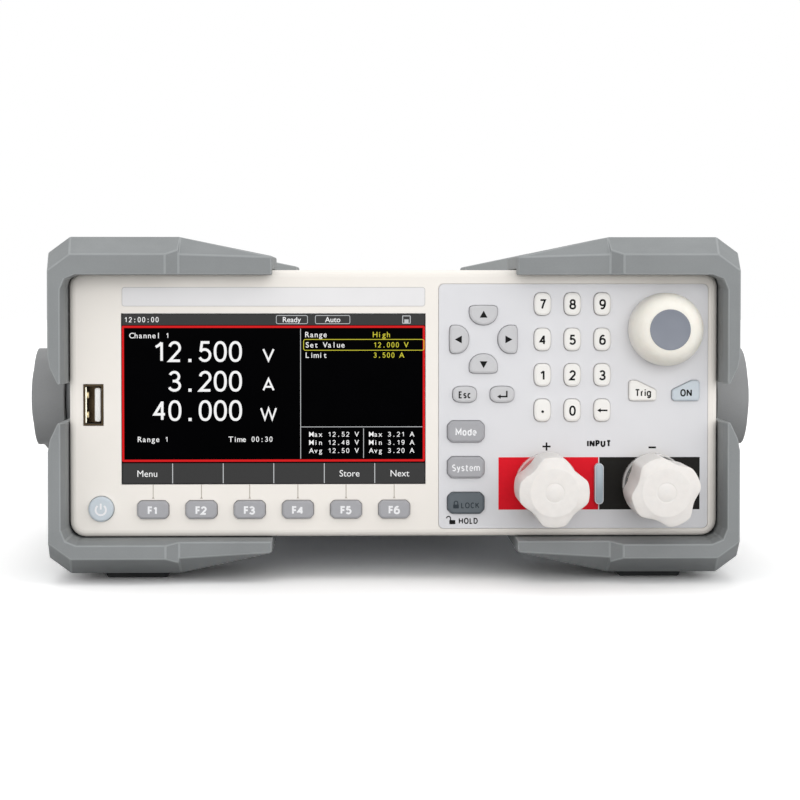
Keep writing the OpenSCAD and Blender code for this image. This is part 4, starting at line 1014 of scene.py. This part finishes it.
def screws(name, places, axis, r):
    """Low round screw heads with a hexagon socket, on faces square to the axis."""
    made = bmesh.new()
    socket = hexagon(r * 0.5)
    profile = ((r, -0.1), (r, r * 0.22), (r * 0.95, r * 0.36), (r * 0.8, r * 0.46), (r * 0.62, r * 0.5),
               (socket, r * 0.5), (socket, r * 0.12), (r * 0.05, r * 0.06))
    for place in places:
        turned(made, place, axis, profile, 36)
    smooth(add_piece(name, made, ZINC), 30)


def port_room(kind):
    """Inside of a rear socket: its box, its mouth's y and its floor's."""
    x0, x1, height, depth = PORT_SPANS[kind]
    mouth = REAR_Y + PORT_PROUD
    return drawn_box((x0, PORT_Z - height / 2, x1, PORT_Z + height / 2), PORT_WALL), mouth, mouth - depth


def port_liner(kind, wall):
    """Dark cup inside a rear socket, whose room it returns."""
    room, mouth, floor_y = port_room(kind)
    cup(kind + "_liner", room, wall, (floor_y + 0.02, mouth - 0.5, mouth - 0.8, floor_y + 0.4), PORT_BLACK)
    return room, mouth, floor_y


def d_outline(x, z, w, h, g):
    """Outline of a nine-pole plug, drawn in by g."""
    slope = h * 0.16
    x0, z0, x1, z1 = drawn_box(box_round(x, z, w / 2, h / 2), g)
    return [(x0 + slope, z0), (x1 - slope, z0), (x1, z1), (x0, z1)]


def serial_port():
    """Nine-pole plug with its pins and standoffs."""
    (x0, z0, x1, z1), mouth, floor_y = port_room("serial")
    x, z = (x0 + x1) / 2, (z0 + z1) / 2
    plug_w, plug_h, standoff_step, pin_pitch, pin_rise = 17.4, 8.8, 12.1, 2.7, 1.35

    def plug(levels):
        return [(d_outline(x, z, plug_w, plug_h, g), y) for g, y in levels]

    shell = bmesh.new()
    slab(shell, plug(((0, floor_y - 0.05), (0, mouth - 0.3), (0.15, mouth - 0.15), (0.5, mouth - 0.3),
                      (0.5, floor_y + 0.4))))
    standoff = ((hexagon(2.3), 0), (hexagon(2.3), 4.6), (hexagon(2.05), 4.9), (1.3, 4.9), (1.3, 1.2),
                (0.1, 1.0))
    for side in (-1, 1):
        turned(shell, (x + side * standoff_step, floor_y - 0.05, z), BACKWARDS, standoff, 24)
    smooth(add_piece("serial_shell", shell, FINISHES["port_metal"]), 30)
    insert = plug(((0.55, floor_y + 0.3), (0.55, floor_y + 1.0), (0.75, floor_y + 1.2)))
    solid("serial_insert", insert, PORT_BLACK)
    pins = bmesh.new()
    pin = ((0.5, 0), (0.5, 3.4), (0.36, 3.7), (0.12, 3.85))
    for count, rise in ((5, pin_rise), (4, -pin_rise)):
        for i in range(count):
            turned(pins, (x + (i - (count - 1) / 2) * pin_pitch, floor_y + 1.1, z + rise), BACKWARDS, pin, 12)
    smooth(add_piece("serial_pins", pins, GOLD))


def network_port():
    """Eight spring contacts in a dark socket."""
    (x0, _, x1, z1), _, floor_y = port_liner("network", 0.7)
    count, pitch, half_w, half_t = 8, 1.02, 0.2, 0.14
    bends = ((0.3, 1.0), (6.5, 1.3), (3.0, 4.2), (0.4, 5.0))
    wires = bmesh.new()
    for i in range(count):
        x = (x0 + x1) / 2 + (i - (count - 1) / 2) * pitch
        slab(wires, [(rect(*box_round(x, z1 - drop, half_w, half_t)), floor_y + reach)
                     for reach, drop in bends])
    add_piece("network_contacts", wires, GOLD)


def device_port():
    """Square data socket with its tongue."""
    (x0, z0, x1, z1), mouth, floor_y = port_liner("device", 0.5)
    block("device_tongue", box_round((x0 + x1) / 2, (z0 + z1) / 2, 2.8, 1.5), 0.5,
          ((0.0, floor_y + 0.2), (0.0, mouth - 1.4), (0.3, mouth - 1.1)),
          moulded("device_white", srgb(226, 225, 220), 0.4, 0.02, 2))


def inlet_details():
    """Bright blades and open rim of the mains inlet."""
    x, _, z = middle_mm("mains_inlet")
    front = box_mm("mains_inlet")[1].y
    base = front - 20.35
    blades = bmesh.new()
    for step, rise in ((-7, -2), (0, 2), (7, -2)):
        blade = box_round(x + step, z + rise, 1.06, 2.06)
        slab(blades, [(rect(*drawn_box(blade, g)), base + y)
                      for g, y in ((0.0, 0.0), (0.0, 14.95), (0.55, 16.15))])
    add_piece("inlet_blades", blades, FINISHES["port_metal"])
    block("inlet_rim", box_round(x, z, 11.9, 8.4), 1.5,
          ((0.02, base + 0.02), (0.02, front - 0.05), (-1.1, front - 0.05), (-0.9, front + 0.45),
           (-0.35, front + 0.45), (0.05, front - 0.1), (0.05, base + 0.05)), FINISHES["inlet_plastic"])


def rear_print():
    """Plain words at the rear sockets."""
    art = Print(REAR_Y + 0.02, -PRINT_T, -1)
    for kind, words in (("serial", "COM"), ("network", "LAN"), ("device", "DATA")):
        x0, x1 = PORT_SPANS[kind][:2]
        art.words(words, (x0 + x1) / 2, PORT_Z - 10.2, 2.2, 0.02)
    art.words("AC", middle_mm("mains_inlet").x, box_mm("mains_inlet")[1].z + 3, 2.4, 0.02)
    art.piece("rear_words", BLACK_INK)


def case_screws():
    """Screws of the fan, of the rear panel and along the lower edges of the top cover."""
    fan, step = middle_mm("fan_frame"), 25
    screws("fan_screws", [(fan.x + dx * step, REAR_Y, fan.z + dz * step) for dx in (-1, 1) for dz in (-1, 1)],
           BACKWARDS, 3.0)
    low, high = box_mm("rear_panel")
    xs, zs = (low.x + 7, 0, high.x - 7), (low.z + 6, high.z - 8)
    screws("rear_screws", [(x, REAR_Y, z) for x in xs for z in zs], BACKWARDS, 2.6)
    low, high = box_mm("top_cover")
    for name, x, out in (("left_screws", low.x, -1), ("right_screws", high.x, 1)):
        screws(name, [(x, y, low.z + 5) for y in (-60, 20, 100)], (out, 0, 0), 2.8)


def handle_details():
    """Turned caps on the handle's hubs and a ribbed grip round its bar."""
    low, high = box_mm("handle")
    pivot = middle_mm("handle_pivots")
    cap = ((11.6, -0.3), (11.6, 0.25), (11.1, 0.6), (9.2, 0.6), (8.8, 0.2), (6.2, 0.2), (5.8, 0.6),
           (2.2, 0.75), (0.2, 0.8))
    caps = bmesh.new()
    for x, out in ((low.x, -1), (high.x, 1)):
        turned(caps, (x, pivot.y, pivot.z), (out, 0, 0), cap, 56)
    smooth(add_piece("hub_caps", caps, FINISHES["pivot_plastic"], "handle"), 30)
    bar_y, bar_z = high.y - 7.5, low.z + 5
    length, pitch, ribs, rib_r, groove_r = 112, 4, 26, 5.9, 5.45
    profile = [(4.9, 0), (5.5, 0.6), (rib_r, 2.0)]
    for i in range(ribs):
        at = pitch * (i + 1)
        profile += [(rib_r, at), (rib_r, at + 2.2), (groove_r, at + 2.7), (groove_r, at + 3.5)]
    profile += [(rib_r, length - 4), (rib_r, length - 2), (5.5, length - 0.6), (4.9, length)]
    grip = bmesh.new()
    turned(grip, (-length / 2, bar_y, bar_z), (1, 0, 0), profile, 36)
    smooth(add_piece("handle_grip", grip, rubber("grip_rubber", srgb(74, 76, 78)), "handle"), 40)


# Floor, light and camera

def seen_level(tree, bounced, seen):
    """One value for light that bounces, another for what the camera sees, also in mirrors and glass."""
    path = tree.nodes.new("ShaderNodeLightPath")
    total = path.outputs["Is Camera Ray"]
    for name in ("Is Glossy Ray", "Is Transmission Ray"):
        both = tree.nodes.new("ShaderNodeMath")
        both.operation = "MAXIMUM"
        tree.links.new(total, both.inputs[0])
        tree.links.new(path.outputs[name], both.inputs[1])
        total = both.outputs[0]
    level = tree.nodes.new("ShaderNodeMapRange")
    set_inputs(level, {"To Min": bounced, "To Max": seen})
    tree.links.new(total, level.inputs["Value"])
    return level.outputs["Result"]


FLOOR_HALF = 6.0
FLOOR_BOUNCED, FLOOR_SEEN = 0.45, 1.3
WORLD_BOUNCED, WORLD_SEEN = 0.86, 1.0
# Strength of each lamp, its spread in degrees and where it shines
LAMPS = {"front_lamp": (1.36, 45, (-0.1, 0.985, -0.1)), "side_lamp": (0.3, 50, (-0.85, 0.35, -0.4)),
         "back_lamp": (0.35, 40, (0.1, -0.45, -0.88))}


def floor():
    """Pale floor that is white to the camera and keeps the shadow."""
    made = bmesh.new()
    made.faces.new([made.verts.new((x, y, 0)) for x, y in rect(*box_round(0, 0, FLOOR_HALF, FLOOR_HALF))])
    material = bpy.data.materials.new("floor_white")
    material.use_nodes = True
    tree = material.node_tree
    shader = tree.nodes["Principled BSDF"]
    set_inputs(shader, {"Roughness": 0.9, "Specular IOR Level": 0.0})
    tree.links.new(seen_level(tree, FLOOR_BOUNCED, FLOOR_SEEN), shader.inputs["Base Color"])
    shaped("floor", made, material)


def studio_light():
    """Even white surround, and wide soft lamps from the front, the right side and the back."""
    world = bpy.data.worlds.new("studio")
    bpy.context.scene.world = world
    world.use_nodes = True
    tree = world.node_tree
    back = tree.nodes["Background"]
    tree.links.new(seen_level(tree, WORLD_BOUNCED, WORLD_SEEN), back.inputs["Strength"])
    set_inputs(back, {"Color": (1, 1, 1, 1)})
    for name, (energy, spread, towards) in LAMPS.items():
        lamp = bpy.data.lights.new(name, "SUN")
        lamp.energy = energy
        lamp.angle = math.radians(spread)
        placed(name, lamp).rotation_euler = Vector(towards).to_track_quat("-Z", "Y").to_euler()


EYE = Vector((-14.1, -871.5, 96.1)) * MM
YAW, PITCH = 1.297, 1.5
FOCAL_PX, FRAME_PX = 2133, 800
SHIFT_Y = -0.0676


def camera():
    """Camera at the photograph's viewpoint."""
    lens = bpy.data.cameras.new("camera")
    lens.sensor_width = 36
    lens.lens = FOCAL_PX * lens.sensor_width / FRAME_PX
    lens.shift_y = SHIFT_Y
    lens.clip_start, lens.clip_end = 0.05, 60
    holder = placed("camera", lens)
    holder.location = EYE
    holder.rotation_euler = (math.radians(90 - PITCH), 0, math.radians(-YAW))
    bpy.context.scene.camera = holder


# The build

node_slots = {part["node"]: part["material_slot"] for part in frame["record"]["subparts"]}
for node, part in NODES.items():
    part.data.materials.clear()
    part.data.materials.append(FINISHES[node_slots[node]])

# Paler bumper rubber for the bumpers' rounded edges: a painted highlight along their edges.
painted_highlight_rubber = rubber("painted_highlight_rubber", shade(srgb(*BUMPER_GREY), 1.25))
for node in ("front_bumpers", "rear_bumpers"):
    soften(node, 0.4, highlight_finish=painted_highlight_rubber, clamp=False)
for node in ("handle", "handle_pivots"):
    soften(node, 0.8)
soften("feet", 0.5)

name_strip()
leaders()
terminal_field()
barrier_cap()
dial_disc()
for pole in ("positive", "negative"):
    ring_rim(pole)
lobed_knob("positive", 0)
lobed_knob("negative", math.radians(25))
lower_keys = [node for node in NODES if node.startswith("key_f") or node == "power_button"]
upper_keys = [node for node in NODES if node.startswith("key_") and node not in lower_keys]
key_lips("overlay_lips", "control_panel", OVERLAY_Y, upper_keys, FINISHES["overlay_plastic"])
key_lips("bezel_lips", "front_bezel", PANEL_Y, lower_keys, FINISHES["bezel_plastic"])
for node, slot in node_slots.items():
    if slot.startswith("key_"):
        key_legend(node, slot)
lock_note()
host_socket()
screen_artwork()
serial_port()
network_port()
device_port()
inlet_details()
rear_print()
case_screws()
handle_details()

floor()
studio_light()
camera()

bpy.context.scene.view_settings.view_transform = "Standard"
